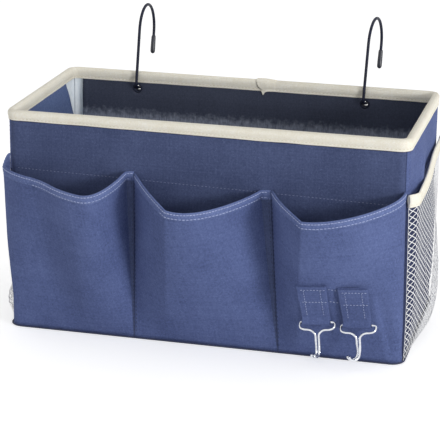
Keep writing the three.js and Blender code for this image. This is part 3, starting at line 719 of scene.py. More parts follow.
def make_lining(side):
    seam = seam_place(side) - 0.4
    first, last = (
        sign * seam if limit is None else limit
        for limit, sign in zip(LINING_SPANS.get(side, (None, None)), (-1, 1)))
    shares = [(last - c) / (last - first) for c in reversed(wall_columns(side, first, last))]
    seed = LINING_SEEDS[side]

    def place(u, v):
        z = mix(LINING_FOOT, WALL_TOP, v)
        edge = mix(*LEFT_EDGE, smooth_step(*LEFT_EDGE_HEIGHTS, z)) if side == "left" else first
        along = mix(last, edge, u)
        free = smooth_step(0.0, 22.0, seam - abs(along))
        free *= smooth_step(4.0, 30.0, z) * smooth_step(178.0, 160.0, z)
        slow, fine = ripple(along, z * 0.4, 45.0, seed), ripple(along, z * 0.15, 9.0, seed + 5.0)
        slack = free * (0.45 + 0.55 * slow + 0.25 * fine)
        if side in LINING_SPANS:
            near_edge = math.exp(-abs(along - (edge if side == "left" else last)) / 2.0)
            slack += CUT_EDGE_STAND * near_edge * smooth_step(4.0, 20.0, z) * smooth_step(172.0, 160.0, z)
        return beside_wall(side, along, -LINING_GAP - slack, z)

    # The ends take the paler lining, painted light.
    make_sheet(
        f"lining_{side}", grid_mesh(shares, steps(0, 1, PANEL_ROWS), place),
        [lining_cloth if side in ("front", "back") else painted_light_side_lining], LINING_THICKNESS,
        f"{side}_lining")


for side in SIDES:
    make_lining(side)
punch(bpy.data.objects["lining_back"])

# %% Lining of the floor
FLOOR_INSET, FLOOR_LEVEL = 4.1, 4.4


def floor_place(u, v):
    half_x, half_y = BOX_WIDTH / 2 - FLOOR_INSET, BOX_DEPTH / 2 - FLOOR_INSET
    x, y = mix(-half_x, half_x, u), mix(-half_y, half_y, v)
    inner = smooth_step(0, 20, half_x - abs(x)) * smooth_step(0, 20, half_y - abs(y))
    return Vector((x, y, FLOOR_LEVEL + inner * (0.5 + 0.5 * ripple(x, y, 40.0, 21.0))))


make_sheet(
    "lining_floor", grid_mesh(steps(0, 1, 80), steps(0, 1, 40), floor_place), [lining_cloth],
    LINING_THICKNESS, "base_lining")

# %% [markdown]
# ## Folded tape
# The rim and the mouths of the nets are bound with the same cream tape, folded over the edge and sewn
# through near its borders. The fold is one profile: up the outer side, over the edge and down the inner
# side. The tape is pressed in where the stitches hold it and stands full above them. Its outer border was
# sewn a little higher at the front left, and a fine dark roll under it all round is painted shade.


# %% The profile of a folded tape
def tape_profile(half, puff, drop, crown):
    """(out, up) from the outer border over the edge to the inner border, in millimetres."""
    rising = [
        (half + 0.25, -drop),
        (half + 0.12, -drop + 0.8),
        (half, -drop + 1.7),
        (half + 0.45 * puff, -drop + 2.7),
        (half + 0.9 * puff, -0.52 * drop),
        (half + puff, -0.3 * drop),
        (half + 0.75 * puff, -0.1 * drop),
        (0.72 * half, 0.75 * crown),
        (0.38 * half, 0.97 * crown),
    ]
    falling = [(-out, up) for out, up in reversed(rising)]
    return [Vector(pair) for pair in (*rising, (0.0, crown), *falling)]


def on_line(points, share):
    """The place at a share of a line's points, straight from each point to the next."""
    position = share * (len(points) - 1)
    k = min(int(position), len(points) - 2)
    return points[k].lerp(points[k + 1], position - k)


def tape_grid(edge, shares, profile, closed, wave, seed, lift=lambda point: 0.0):
    """A tape folded over an edge; edge(u) gives the edge's point, outward direction and upward direction, and
    lift(point) how much higher its outer border runs there."""

    def place(u, v):
        out, up = on_line(profile, v)
        point, outward, upward = edge(u)
        border = smooth_step(0.25, 1.0, abs(2 * v - 1))
        up += wave * border * ripple(point.x + point.y, 40.0 * v, 23.0, seed)
        up += border * lift(point) * (v < 0.5)
        out *= 1 + 0.5 * wave * ripple(point.x - point.y, 30.0 * v, 15.0, seed + 3.0) / max(abs(out), 1.0)
        return point + outward * out + upward * up

    return place, grid_mesh(shares, steps(0, 1, len(profile) - 1), place, closed=closed)


# %% Rim binding
RIM_EDGE, RIM_INSET = 179.5, 2.0
TAPE_DROP, TAPE_THICKNESS = 8.3, 0.6
LAP_PLACE = 14.0
RIM_PROFILE = tape_profile(half=2.55, puff=0.65, drop=TAPE_DROP, crown=1.0)
rim_at, rim_runs, rim_total = rounded_loop(
    BOX_WIDTH / 2 - RIM_INSET, BOX_DEPTH / 2 - RIM_INSET, CORNER - RIM_INSET, LAP_PLACE)


def rim_edge(u):
    point, normal = rim_at(u)
    return Vector((point.x, point.y, RIM_EDGE)), normal, Vector((0, 0, 1))


def rim_lift(point):
    return 1.5 * smooth_step(90.0, -140.0, point.x) * smooth_step(0.0, -76.0, point.y)


rim_shares = loop_shares(rim_runs, rim_total, 2.6, 9)
rim_place, rim_grid = tape_grid(
    rim_edge, rim_shares, RIM_PROFILE, closed=True, wave=0.3, seed=31.0, lift=rim_lift)
make_sheet(
    "tape_rim", rim_grid, [tape_cloth], TAPE_THICKNESS, "rim_binding")
# A fine dark line under the tape's border, painted shade.
make_roll(
    "painted_shade_rim_roll", grow=0.2, level=lambda point: RIM_EDGE - TAPE_DROP - 0.2 + rim_lift(point), radius=0.5,
    seed=6.0)

# %% Stitches of the rim
STITCH_LEVEL = 2.0 / (len(RIM_PROFILE) - 1)


def tape_rows(place, shares):
    """Two rows of spots, on the outer and on the inner side of a folded tape."""
    return [row_on(place, [(u, v) for u in shares], lift=0.0) for v in (STITCH_LEVEL, 1 - STITCH_LEVEL)]


stitches("stitches_rim", tape_rows(rim_place, rim_shares), cream_thread)

# %% [markdown]
# ## The lapped end of the rim tape
# The tape's two ends meet on the rear wall. The last end is folded under and laid over the first, and a
# pointed corner of it hangs below the inner border. It uses the rim's profile, one tape thickness further
# out.

# %% Lapped end
LAP_HALF, LAP_TAIL, LAP_SWEEP = 8.0, 3.2, 4.0
LAP_PROFILE = tape_profile(half=3.0, puff=0.75, drop=TAPE_DROP, crown=1.5)


def lap_place(u, v):
    out, up = on_line(LAP_PROFILE, v)
    x = mix(LAP_PLACE + LAP_HALF, LAP_PLACE - LAP_HALF, u)
    full = smooth_step(0.0, 0.5, u)
    out *= mix(0.9, 1.12 + 0.05 * ripple(x, up * 2, 6.0, 41.0), full)
    up = up * mix(0.96, 1.0, full) + 0.5 * full * (up > 0)
    tail = smooth_step(0.62, 1.0, v)
    up -= LAP_TAIL * tail * hump(u, 0.72, 0.16)
    x += LAP_SWEEP * tail * smooth_step(0.55, 1.0, u)
    return Vector((x, WALL_MIDDLE + out, RIM_EDGE + up))


lap_grid = grid_mesh(steps(0, 1, 24), steps(0, 1, 2 * len(LAP_PROFILE) - 2), lap_place)
make_sheet(
    "tape_rim_lap", lap_grid, [tape_cloth], TAPE_THICKNESS, "rim_binding_lap",
    even=False)

# %% [markdown]
# ## Front pockets
# Each pocket is one panel of cloth whose foot lies along the wall and whose mouth leans out in a curve. The
# middle and the right one start with a pleat that breaks at a crease; the left one is a plain round bag.
# The left and the middle one come back to the wall short of their last seam and lie flat from there: the
# shaded wedge beside each pleat is that tuck. The cloth keeps its height, so the mouth sinks where it leans
# out. The mouth ends in a hem: the cloth is turned over to the inside, so the grid simply goes on over the
# edge and down again.

# %% Pocket curves
POCKET_HEIGHT, POCKET_FOOT = 137.0, 1.5
POCKET_SINK, POCKET_BELLY = 0.08, 0.2
POCKET_GAP = 1.3
FOOT_EASE, FOOT_TUCK, TUCK_START = 1.5, 1.0, 0.94
PLEAT_KNEE, DIVIDER_SINK = 0.4, 4.6
POCKETS = {
    "left": {
        "mouth": [
            (-158.0364, -1.4781), (-177.0364, 8.91), (-123.1, 34.425),
            (-89.1, 40.5), (-72.1, 43.74), (-64.1, 24.3), (-61.5, 1.3)],
        "foot": (-157.7686, -95.9274, -54.7), "knee": 0.6, "tuck": 6.4},
    "middle": {
        "mouth": [
            (-54.9, 1.3), (-42.3333, 16.1667), (-29.7667, 32.3333),
            (-17.2, 48.5), (9.512, 52.38), (39.4, 19.4), (46.4, 1.3)],
        "foot": (-54.5, -28.5, 62.9), "knee": PLEAT_KNEE, "tuck": 8.0},
    "right": {
        "mouth": [
            (54.6, 1.3), (65.4, 15.3333), (76.2, 30.6667),
            (87.0, 46.0), (116.8353, 49.68), (160.0364, 24.84), (158.0364, -1.4781)],
        "foot": (63.1, 77.1, 160.7686), "knee": PLEAT_KNEE, "tuck": 0.0},
}


def bezier(points, t):
    a, b, c, d = points
    s = 1 - t
    return a * s ** 3 + b * (3 * s * s * t) + c * (3 * s * t * t) + d * t ** 3


def mouth_lift(name, u):
    """How much higher than level a mouth was cut: the row of pockets sinks towards the right divider."""
    face = max(u - PLEAT_KNEE, 0.0) / (1 - PLEAT_KNEE)
    if name == "left":
        return 8.0 * smooth_step(0.1, 0.0, u) + 1.5 * smooth_step(0.85, 1.0, u)
    if name == "middle":
        return -DIVIDER_SINK * face - 3.0 * math.sin(math.pi * face)
    return mix(mix(-DIVIDER_SINK, -1.8, min(u / PLEAT_KNEE, 1.0)), 2.0, face)


def pocket_face(name):
    """In plan a mouth is two curves that meet at the knee; their points are x and distance off the wall."""
    mouth_points, (foot_start, foot_knee, foot_end), knee, tuck = POCKETS[name].values()
    points = [Vector((x, -BOX_DEPTH / 2 - out, 0)) for x, out in mouth_points]
    flat_from, foot_tuck = (TUCK_START, FOOT_TUCK) if tuck else (1.0, 0.0)

    def place(u, v):
        if u <= knee:
            share = u / knee
            mouth = bezier(points[:4], share)
            along = mix(foot_start, foot_knee, share)
        else:
            share = min((u - knee) / (flat_from - knee), 1.0)
            tucked = (u - flat_from) / (1 - flat_from) if u > flat_from else 0.0
            mouth = bezier(points[3:], share) + Vector((tuck * tucked, 0, 0))
            along = mix(foot_knee, foot_end - foot_tuck, 1 - (1 - share) ** FOOT_EASE) + foot_tuck * tucked
        out = max(-BOX_DEPTH / 2 - mouth.y, 0.0)
        top = math.sqrt(POCKET_HEIGHT ** 2 - out ** 2) - POCKET_SINK * out
        lean = v * (1 + POCKET_BELLY) - POCKET_BELLY * v * v
        point = beside_wall("front", along, POCKET_GAP).lerp(mouth, lean)
        point.z = mix(POCKET_FOOT, top + mouth_lift(name, u), v)
        return point

    return place


# %% [markdown]
# Cloth that has been folded keeps soft marks. Small offsets along the normal give the left bag a shallow
# valley, a fuller left side and a fuller knee, the right pocket a crease that runs down to its lower outer
# corner, the pleats a bow, and every pocket a slow unevenness. They fade out at the seams, where the cloth
# is held.

# %% Soft marks of the pockets
MARK_SEEDS = {"left": 51.0, "middle": 52.0, "right": 53.0}
VALLEY_X, VALLEY_SLANT, VALLEY_DEPTH = -128.0, 0.16, 4.0
SIDE_BAG, KNEE_BAG, PLEAT_BOW = 3.4, 5.0, 3.6
CREASE_TOP, CREASE_FOOT, CREASE_DIP = (137.0, 62.0), (149.0, 2.0), 2.2


def pocket_marks(name, u, v, point):
    held = smooth_step(0.0, 0.12, u) * smooth_step(1.0, 0.88, u) * smooth_step(0.0, 0.12, v)
    mark = 0.7 * held * ripple(point.x, point.z * 0.6, 34.0, MARK_SEEDS[name])
    if name == "left":
        valley = VALLEY_X + VALLEY_SLANT * (POCKET_HEIGHT - point.z)
        mark -= VALLEY_DEPTH * held * hump(point.x, valley, 16.0) * smooth_step(0.05, 0.3, v)
        side = smooth_step(0.0, 0.06, u) * smooth_step(0.4, 0.12, u)
        mark += SIDE_BAG * side * math.sin(math.pi * v ** 0.75)
        mark += KNEE_BAG * hump(u, 0.66, 0.18) * math.sin(math.pi * v)
    elif u < PLEAT_KNEE:
        mark += PLEAT_BOW * math.sin(math.pi * u / PLEAT_KNEE) * smooth_step(0.0, 0.6, v)
    if name == "right":
        drop = (CREASE_TOP[1] - point.z) / (CREASE_TOP[1] - CREASE_FOOT[1])
        away = point.x - mix(CREASE_TOP[0], CREASE_FOOT[0], drop)
        dip = smooth_step(0.0, 4.5, away) * smooth_step(18.0, 4.5, away)
        mark -= CREASE_DIP * dip * smooth_step(-0.1, 0.3, drop) * smooth_step(1.02, 0.8, drop)
    return mark


# %% Hemmed pockets
HEM_DROP, HEM_ROUND, HEM_TURN = 6.4, 0.85, 0.3
HEM_ROWS = (0.9, 5.3)
HEM_CUT, HEM_FIRST_ROW, POCKET_THICKNESS = 7.0, 35, 0.65
POCKET_COLUMNS, TUCK_COLUMNS = 90, 6


def marked_face(name):
    plain = pocket_face(name)

    def place(u, v):
        point = plain(u, v)
        out = pocket_marks(name, u, v, point)
        below = (1 - v) * POCKET_HEIGHT
        if below < HEM_DROP:
            out += 0.4 * math.sin(math.pi * min(below / HEM_ROWS[1], 1.0))
        return point + cloth_normal(plain, u, v) * out

    return place


def hemmed(face):
    """The face for v up to 1, and for v from 1 to 2 the hem that is turned to the inside."""

    def place(u, v):
        if v <= 1:
            return face(u, v)
        edge = face(u, 1.0)
        upward = (edge - face(u, 0.985)).normalized()
        outward = cloth_normal(face, u, 1.0)
        turn = min((v - 1) / HEM_TURN, 1.0) * math.pi
        drop = max((v - 1 - HEM_TURN) / (1 - HEM_TURN), 0.0) * HEM_DROP
        point = edge + upward * (HEM_ROUND * math.sin(turn)) - outward * (HEM_ROUND * (1 - math.cos(turn)))
        return point - upward * drop

    return place


pocket_faces = {name: marked_face(name) for name in POCKETS}


def joined_steps(*stops):
    """Steps from 0 through several stops, each a place and the number of steps up to it."""
    places = [0.0]
    for stop, count in stops:
        places += steps(places[-1], stop, count)[1:]
    return places


def make_pocket(name):
    knee = POCKETS[name]["knee"]
    flat_from = TUCK_START if POCKETS[name]["tuck"] else 1.0
    columns = joined_steps(
        (knee, round(POCKET_COLUMNS * knee)), (flat_from, round(POCKET_COLUMNS * (flat_from - knee))))
    tuck_column = len(columns) - 1
    if flat_from < 1:
        columns += steps(flat_from, 1, TUCK_COLUMNS)[1:]
    rows = joined_steps((1 - HEM_CUT / POCKET_HEIGHT, 34), (1, 7), (1 + HEM_TURN, 5), (2, 4))
    grid = grid_mesh(
        # The tuck's columns take the painted-shade cloth, which darkens the wedge beside each pleat.
        columns, rows, hemmed(pocket_faces[name]),
        finish=lambda i, j: 1 if j >= HEM_FIRST_ROW else 2 * (i >= tuck_column))
    # The hem's rows take the paler cloth, painted highlight on the folded band.
    make_sheet(
        f"pocket_{name}", grid, [navy_cloth, painted_highlight_hem_cloth, painted_shade_cloth], POCKET_THICKNESS,
        f"front_pocket_{name}")


for name in POCKETS:
    make_pocket(name)

# %% [markdown]
# ## Stitching on the front
# Two rows hold each hem: a close one along its edge, laid without gaps so that it also paints the highlight
# of the folded edge, and a longer stitch at its lower border, which the pleats don't have. One row runs
# across the wall behind the mouths, slightly lower to the right. Along each divider and corner the pockets
# are sewn down with thread in the cloth's own colour.

# %% Front stitches
WALL_ROW = (134.5, 128.5)
SEAM_SHARES = {"left": (0.985,), "middle": (0.02, 0.985), "right": (0.02,)}


def hem_rows(first, last, count, below):
    shares = [(u, 1 - below / POCKET_HEIGHT) for u in steps(first, last, count)]
    return [row_on(face, shares, lift=0.12) for face in pocket_faces.values()]


edge_rows, border_rows = hem_rows(0.012, 0.988, 110, HEM_ROWS[0]), hem_rows(0.36, 0.975, 90, HEM_ROWS[1])
# The edge row is pale and without gaps: a row of stitches that also paints the highlight of the folded edge.
stitches("stitches_hem_edges_painted_highlight", edge_rows, pale_thread, pitch=2.5, length=2.5, width=0.6)
stitches("stitches_hem_borders", border_rows, pale_thread, pitch=2.9, length=2.6, width=0.55)
wall_shares = [(u, (mix(*WALL_ROW, u) - WALL_FOOT) / (WALL_TOP - WALL_FOOT)) for u in steps(0.02, 0.98, 200)]
wall_row = row_on(outer_faces["front"], wall_shares, lift=0.1)
stitches("stitches_wall", [wall_row], grey_thread, pitch=3.0, length=1.9, width=0.4)
seam_rows = [
    row_on(pocket_faces[name], [(u, v) for v in steps(0.03, 0.97, 50)], lift=0.1)
    for name, shares in SEAM_SHARES.items() for u in shares]
seam_rows += [
    row_on(outer_faces[side], [(u, v) for v in steps(0.02, 0.95, 60)], lift=-0.12)
    for side in ("right", "left") for u in (0.022, 0.978)]
stitches("stitches_seams", seam_rows, navy_thread_and_painted_shade, pitch=3.4, length=2.4, width=0.45)

# %% [markdown]
# ## Net side pockets
# The net is knitted from white yarn in flat bands round staggered holes. A grid of cells is laid on the
# pocket's form, every cell is poked, and the old edges are dissolved: what is left is a grid of diamonds.
# Each diamond is inset, and its middle is taken out as a hole. Solidify makes yarn of the bands that are
# left, and a seeded noise lets them wander a little. A Wireframe modifier would do it in one step, but its
# thick bars close the holes in a slanting view.

# %% Net form
NET_FRONT_HEIGHT, NET_REAR_HEIGHT = 136.5, 144.0
NET_SWELL, NET_SWELL_RISE, NET_SWELL_FALL, NET_SWELL_LOSS = 4.0, 0.06, (0.25, 0.8), 0.8
NET_BELLY, NET_FOOT_TURN, NET_FOOT_WRAP = 11.0, 5, 3.0
NET_MOUTH_GAP, NET_LOOSE_CORNER = 2.7, 8.0
NET_INSETS = {"right": (1.0, 4.0), "left": (4.0, 8.0)}
NET_CELL, NET_BAND, NET_THICKNESS, NET_YARN_SHARE = (6.2, 5.0), 0.62, 0.14, 0.36


def net_face(side, start_height, end_height):
    """The mouth stands off the wall near its first end, and the loose net bellies out low down, the left one
    most at its front corner."""
    first, last = NET_INSETS[side]

    def place(u, v):
        swell = smooth_step(0.0, NET_SWELL_RISE, u) * (1 - NET_SWELL_LOSS * smooth_step(*NET_SWELL_FALL, u))
        mouth_gap = NET_MOUTH_GAP + NET_SWELL * swell
        belly = NET_BELLY * math.sin(math.pi * u) ** 2 * math.sin(math.pi * math.sqrt(v))
        if side == "left":
            mouth_gap *= mix(1.0, 0.4, smooth_step(0.75, 1.0, u))
            loose = smooth_step(0.7, 0.9, u) * smooth_step(1.0, 0.93, u)
            belly += NET_LOOSE_CORNER * loose * smooth_step(0.0, 0.07, v) * smooth_step(0.3, 0.1, v)
        gap = mix(POCKET_GAP, mouth_gap, 1 - (1 - v) ** NET_FOOT_TURN) + belly
        wrap = NET_FOOT_WRAP * (1 - v) if side == "right" else 0.0
        tall = mix(start_height, end_height, u)
        top = math.sqrt(tall ** 2 - mouth_gap ** 2) - POCKET_SINK * mouth_gap
        along = mix(first + wrap - seam_place(side), seam_place(side) - last, u)
        return beside_wall(side, along, gap, mix(POCKET_FOOT, top, v))

    return place


net_faces = {
    "right": net_face("right", NET_FRONT_HEIGHT, NET_REAR_HEIGHT),
    "left": net_face("left", NET_REAR_HEIGHT, NET_FRONT_HEIGHT)}

# %% Knitted net
NET_SEED, YARN_WANDER = 1795778136, 0.35


def make_net(side):
    columns = round(2 * seam_place(side) / NET_CELL[0])
    rows = round(NET_FRONT_HEIGHT / NET_CELL[1])

    def place(u, v):
        point = net_faces[side](u, v)
        inner = math.prod(smooth_step(0, 0.06, t) * smooth_step(1, 0.94, t) for t in (u, v))
        return point + noise.noise_vector(point / 7.0) * (YARN_WANDER * inner)

    bm, cut = grid_mesh(steps(0, 1, columns), steps(0, 1, rows), place)
    old_edges = [edge for edge in bm.edges if not edge.is_boundary]
    bmesh.ops.poke(bm, faces=list(bm.faces))
    bmesh.ops.dissolve_edges(bm, edges=old_edges, use_verts=False, use_face_split=False)
    holes = list(bm.faces)
    bmesh.ops.inset_individual(bm, faces=holes, thickness=NET_BAND / 2 * MM, depth=0.0, use_even_offset=True)
    bmesh.ops.delete(bm, geom=holes, context="FACES")
    make_sheet(
        f"net_{side}", (bm, cut), [net_yarn], NET_THICKNESS, f"mesh_pocket_{side}",
        share=NET_YARN_SHARE, even=False)


noise.seed_set(NET_SEED)
for side in net_faces:
    make_net(side)

# %% Bound mouths of the nets
NET_PROFILE = tape_profile(half=0.85, puff=0.75, drop=9.0, crown=1.0)
NET_TAPE_THICKNESS = 0.55


def net_edge(face):
    def at(u):
        edge = face(u, 1.0)
        return edge, cloth_normal(face, u, 1.0), (edge - face(u, 0.998)).normalized()

    return at


net_tape_rows = []
for side, face in net_faces.items():
    shares = steps(0, 1, 64)
    tape_place, tape = tape_grid(
        net_edge(face), shares, NET_PROFILE, closed=False, wave=0.45, seed=61.0)
    make_sheet(
        f"tape_net_{side}", tape, [tape_cloth], NET_TAPE_THICKNESS, f"mesh_binding_{side}")
    net_tape_rows += tape_rows(tape_place, shares)
stitches("stitches_net_tape", net_tape_rows, cream_thread)

# %% [markdown]
# ## Wire pieces
# The hangers and the key hooks are bent wire, so each is a curve with a round bevel: straight runs and
# bends for the hanger, a smooth line through points for the key hook. The curve is turned into a mesh at
# once, so that it exports as it looks. Each one rides on its own body and turns with it.


# %% Wire from points
def wire_piece(name, points, radius, material, body, node):
    data = bpy.data.curves.new(name, "CURVE")
    data.dimensions = "3D"
    data.bevel_depth = radius * MM
    data.bevel_resolution = 6
    data.use_fill_caps = True
    spline = data.splines.new("POLY")
    spline.points.add(len(points) - 1)
    for spline_point, point in zip(spline.points, points):
        spline_point.co = (*(point * MM), 1.0)
    line = add_object(f"{name}_line", data)
    mesh = shaped_mesh(line)
    bpy.data.objects.remove(line)
    bm = bmesh.new()
    bm.from_mesh(mesh)
    bpy.data.meshes.remove(mesh)
    bmesh.ops.remove_doubles(bm, verts=bm.verts, dist=1e-7)
    bmesh.ops.recalc_face_normals(bm, faces=bm.faces)
    piece = new_object(name, bm, [material], body)
    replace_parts(piece, node)
    print(f"{name}: {len(piece.data.polygons)} faces")


def arc(centre_y, centre_z, radius, first, last, count):
    angles = [math.radians(angle) for angle in steps(first, last, count)]
    return [Vector((0, centre_y + radius * math.cos(a), centre_z + radius * math.sin(a))) for a in angles]


# %% Hangers
HANGER = {"wire": 2.5, "lean": 13.0, "bend": 22.5, "stem": 48.8, "drop": 17.5, "elbow": 4.0}
STEM_STANDOFF, TAIL_STANDOFF, TAIL_RISE = 7.7, 7.2, 5.0
HANGER_END = Vector((0, 2 * HANGER["bend"] - STEM_STANDOFF, HANGER["stem"] - HANGER["drop"]))
HANGER_TURNS = {"left": 0.0, "right": -5.0}
TIP_PROFILE = [
    (0.0, -1.85), (0.7, -1.75), (1.35, -1.35), (1.85, -0.6), (2.08, 0.4), (2.1, 3.0), (2.02, 8.0),
    (1.92, 12.6), (1.75, 13.6), (1.55, 14.0), (1.28, 14.05), (1.28, 1.0), (0.0, 1.0)]


def hanger_line():
    elbow, bend = HANGER["elbow"], HANGER["bend"]
    return [
        Vector((0, TAIL_STANDOFF, elbow + TAIL_RISE)),
        *arc(TAIL_STANDOFF - elbow, elbow, elbow, 0, -90, 10),
        *arc(elbow - STEM_STANDOFF, elbow, elbow, -90, -180, 10),
        *arc(bend - STEM_STANDOFF, HANGER["stem"], bend, 180, 0, 48),
        HANGER_END]


def lathe(name, profile, matrix, material, body, node):
    """Spins a closed profile of (radius, height) about the matrix's own Z axis."""
    bm = bmesh.new()
    corners = [bm.verts.new((r, 0, h)) for r, h in profile]
    edges = [bm.edges.new((a, b)) for a, b in zip(corners, corners[1:])]
    if profile[0][0] > 0:
        edges.append(bm.edges.new((corners[-1], corners[0])))
    bmesh.ops.spin(
        bm, geom=corners + edges, cent=(0, 0, 0), axis=(0, 0, 1), angle=2 * math.pi, steps=32,
        use_merge=True, use_duplicate=False)
    bmesh.ops.remove_doubles(bm, verts=bm.verts, dist=1e-4)
    bmesh.ops.recalc_face_normals(bm, faces=bm.faces)
    bmesh.ops.transform(bm, matrix=Matrix.Scale(MM, 4) @ matrix, verts=bm.verts)
    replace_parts(new_object(name, bm, [material], body), node)


for side, angle in HANGER_TURNS.items():
    lean = Matrix.Rotation(-math.radians(HANGER["lean"]), 4, "X")
    matrix = HANGER_SEATS[side] @ Matrix.Rotation(math.radians(angle), 4, "Z") @ lean
    wire_piece(
        f"wire_hanger_{side}", [matrix @ p for p in hanger_line()], HANGER["wire"] / 2, wire_coat,
        f"hanger_{side}", f"hanger_hook_{side}")
    lathe(
        f"tip_{side}", TIP_PROFILE, matrix @ Matrix.Translation(HANGER_END), tip_coat, f"hanger_{side}",
        f"hook_tip_{side}")

# %% [markdown]
# ## Eyelets
# An eyelet is pressed metal: a rounded flange inside, a barrel through the wall and an end that is curled
# over a washer outside. Spinning a profile about the bore gives it its round lip.

# %% Eyelets and washers
EYELET_PROFILE = [
    (2.5, -2.6), (2.75, -2.95), (3.3, -3.05), (3.9, -2.95), (4.25, -2.7), (4.3, -2.4), (4.1, -2.3),
    (3.0, -2.25), (3.0, 3.1), (3.7, 3.1), (4.1, 3.2), (4.2, 3.45), (3.9, 3.65), (3.2, 3.7), (2.7, 3.6),
    (2.5, 3.3)]
WASHER_PROFILE = [(3.3, 2.3), (4.2, 2.3), (4.3, 2.4), (4.3, 2.7), (4.2, 2.8), (3.3, 2.8)]
for side in HANGER_SEATS:
    seat = HANGER_SEATS[side] @ Matrix.Rotation(-math.pi / 2, 4, "X")
    for name, profile, node in (
            ("eyelet_ring", EYELET_PROFILE, "eyelet"), ("washer_ring", WASHER_PROFILE, "eyelet_washer")):
        lathe(f"{name}_{side}", profile, seat, eyelet_coat, "caddy", f"{node}_{side}")

# %% [markdown]
# ## Key tabs and key hooks
# A tab is a strap of cloth, folded in half round the hook's bar and sewn to the pocket. Its outline is
# drawn from the side: up the back, down the front and round the loop. The joint's place in the record is
# the loop's centre, and the strap's lean follows from how far the loop hangs below the tab's top. Both tabs
# were sewn on in one go, so the two rows run on over the pocket between them.

# %% Tab form
TAB_WIDTH, TAB_LENGTH, TAB_THICKNESS, TAB_TOP = 24.0, 34.3, 2.0, 69.3
TAB_TRIM, TAB_FLARE, STRAP_THICKNESS = 2.0, 1.06, 0.6
TAB_TILT = Matrix.Rotation(math.radians(-5.0), 3, "Y")
TAB_ROWS, TAB_ROW_FOOT = (-3.0, -14.8), -29.0
LOOP_RADIUS = 2.5
PIVOTS = {
    joint["child"]: Vector(joint["pos_m"]) / MM
    for joint in frame["record"]["behaviour"]["joints"] if joint["child"].startswith("key_hook")}


def tab_frame(pivot):
    """Where the tab's top rests and how it leans, from the loop's centre."""
    hang = math.hypot(LOOP_RADIUS, TAB_LENGTH)
    lean = -math.acos((TAB_TOP - pivot.z) / TAB_TILT[2][2] / hang) - math.atan2(LOOP_RADIUS, TAB_LENGTH)
    turn = TAB_TILT @ Matrix.Rotation(-lean, 3, "X")
    return pivot - turn @ Vector((0, -LOOP_RADIUS, -TAB_LENGTH)), turn


def tab_outline():
    """The strap from the side: from the top of its front down, round the loop and up its back."""
    down = steps(0, TAB_LENGTH - 3.4, 12)
    front = [(0, -TAB_THICKNESS + 0.1 * math.sin(k), -z) for k, z in enumerate(down)]
    back = [(0, -0.05, -z) for z in steps(TAB_LENGTH - 3.0, 0, 10)]
    loop = arc(-LOOP_RADIUS, -TAB_LENGTH, LOOP_RADIUS, 135, 355, 14)
    return [Vector(point) for point in (*front, *loop, *back)]


def make_tab(side):
    top, turn = tab_frame(PIVOTS[f"key_hook_{side}"])
    outline = tab_outline()

    def place(u, v):
        point = on_line(outline, 1 - v)
        x = mix(-TAB_WIDTH / 2, TAB_WIDTH / 2 - TAB_TRIM, u)
        x *= mix(1.0, TAB_FLARE, smooth_step(-TAB_LENGTH, 0.0, point.z))
        edge = smooth_step(0.0, 0.08, min(u, 1 - u))
        y = point.y - (0.25 * edge + 0.25 * ripple(x, point.z, 6.0, 71.0)) * (point.y < -1)
        return top + turn @ Vector((x, y, point.z))

    make_sheet(
        f"tab_{side}", grid_mesh(steps(0, 1, 26), steps(0, 1, len(outline) - 1), place), [navy_cloth],
        STRAP_THICKNESS, f"key_tab_{side}")

    def spot(x, z):
        return top + turn @ Vector((x, -TAB_THICKNESS - 0.42, z)), turn @ Vector((0, -1, 0))

    inset = TAB_WIDTH / 2 - 4.8
    rows = [[spot(x, z) for x in steps(-TAB_WIDTH / 2 + 2, TAB_WIDTH / 2 - 2.5, 8)] for z in TAB_ROWS]
    return rows + [[spot(x, z) for z in steps(TAB_ROWS[0], TAB_ROW_FOOT, 8)] for x in (-inset, inset - 1.5)]


def on_pocket(x, z):
    """The spot of the right pocket's face at a place across and a height, found by halving."""
    face, v = pocket_faces["right"], z / POCKET_HEIGHT
    for _ in range(4):
        low, high = PLEAT_KNEE, 1.0
        for _ in range(16):
            middle = (low + high) / 2
            low, high = (middle, high) if face(middle, v).x < x else (low, middle)
        v += (z - face(low, v).z) / POCKET_HEIGHT
    return row_on(face, [(low, v)], lift=0.15)[0]


def row_between(first, last):
    return [on_pocket(mix(first.x, last.x, t), mix(first.z, last.z, t)) for t in steps(0.1, 0.95, 5)]


left_rows, right_rows = make_tab("left"), make_tab("right")
linking_rows = [row_between(left_rows[k][-1][0], right_rows[k][0][0]) for k in range(len(TAB_ROWS))]
stitches(
    "stitches_tabs", left_rows + right_rows + linking_rows, pale_thread,
    pitch=2.5, length=1.8, width=0.42)

# %% Key hooks
KEY_WIRE = 1.8
HOOK_TURNS = {"left": 12.0, "right": 45.0}
HOOK_BAR = [
    (6.0, 0, 0), (12.0, 0, 0), (13.3, -0.4, -0.4), (13.7, -1.76, -1.76), (12.8, -3.52, -3.52),
    (10.2, -4.4, -4.4), (6.0, -4.4, -4.8), (3.9, -4.4, -5.7), (1.65, -4.4, -8.1), (1.2, -4.4, -10.8),
    (1.2, -4.4, -13.4)]
HOOK_STRAND = [
    (1.2, 0, -20.5), (1.2, -1.4645, -24.0355), (1.2, -5.0, -25.5), (1.2, -8.5355, -24.0355),
    (1.2, -10.0, -21.3839)]
STRAND_PLACE = Vector((0, -4.4, 0))


def key_hook_half(sign, angle):
    """Half of the wire: the bar and shoulder from the middle out and in again, then the strand to its tip,
    which is bent forward and turned to the left."""
    turn = Matrix.Rotation(math.radians(-angle), 3, "Z")
    bar, strand = ([Vector((sign * x, y, z)) for x, y, z in part] for part in (HOOK_BAR, HOOK_STRAND))
    return bar + [turn @ point + STRAND_PLACE for point in strand]


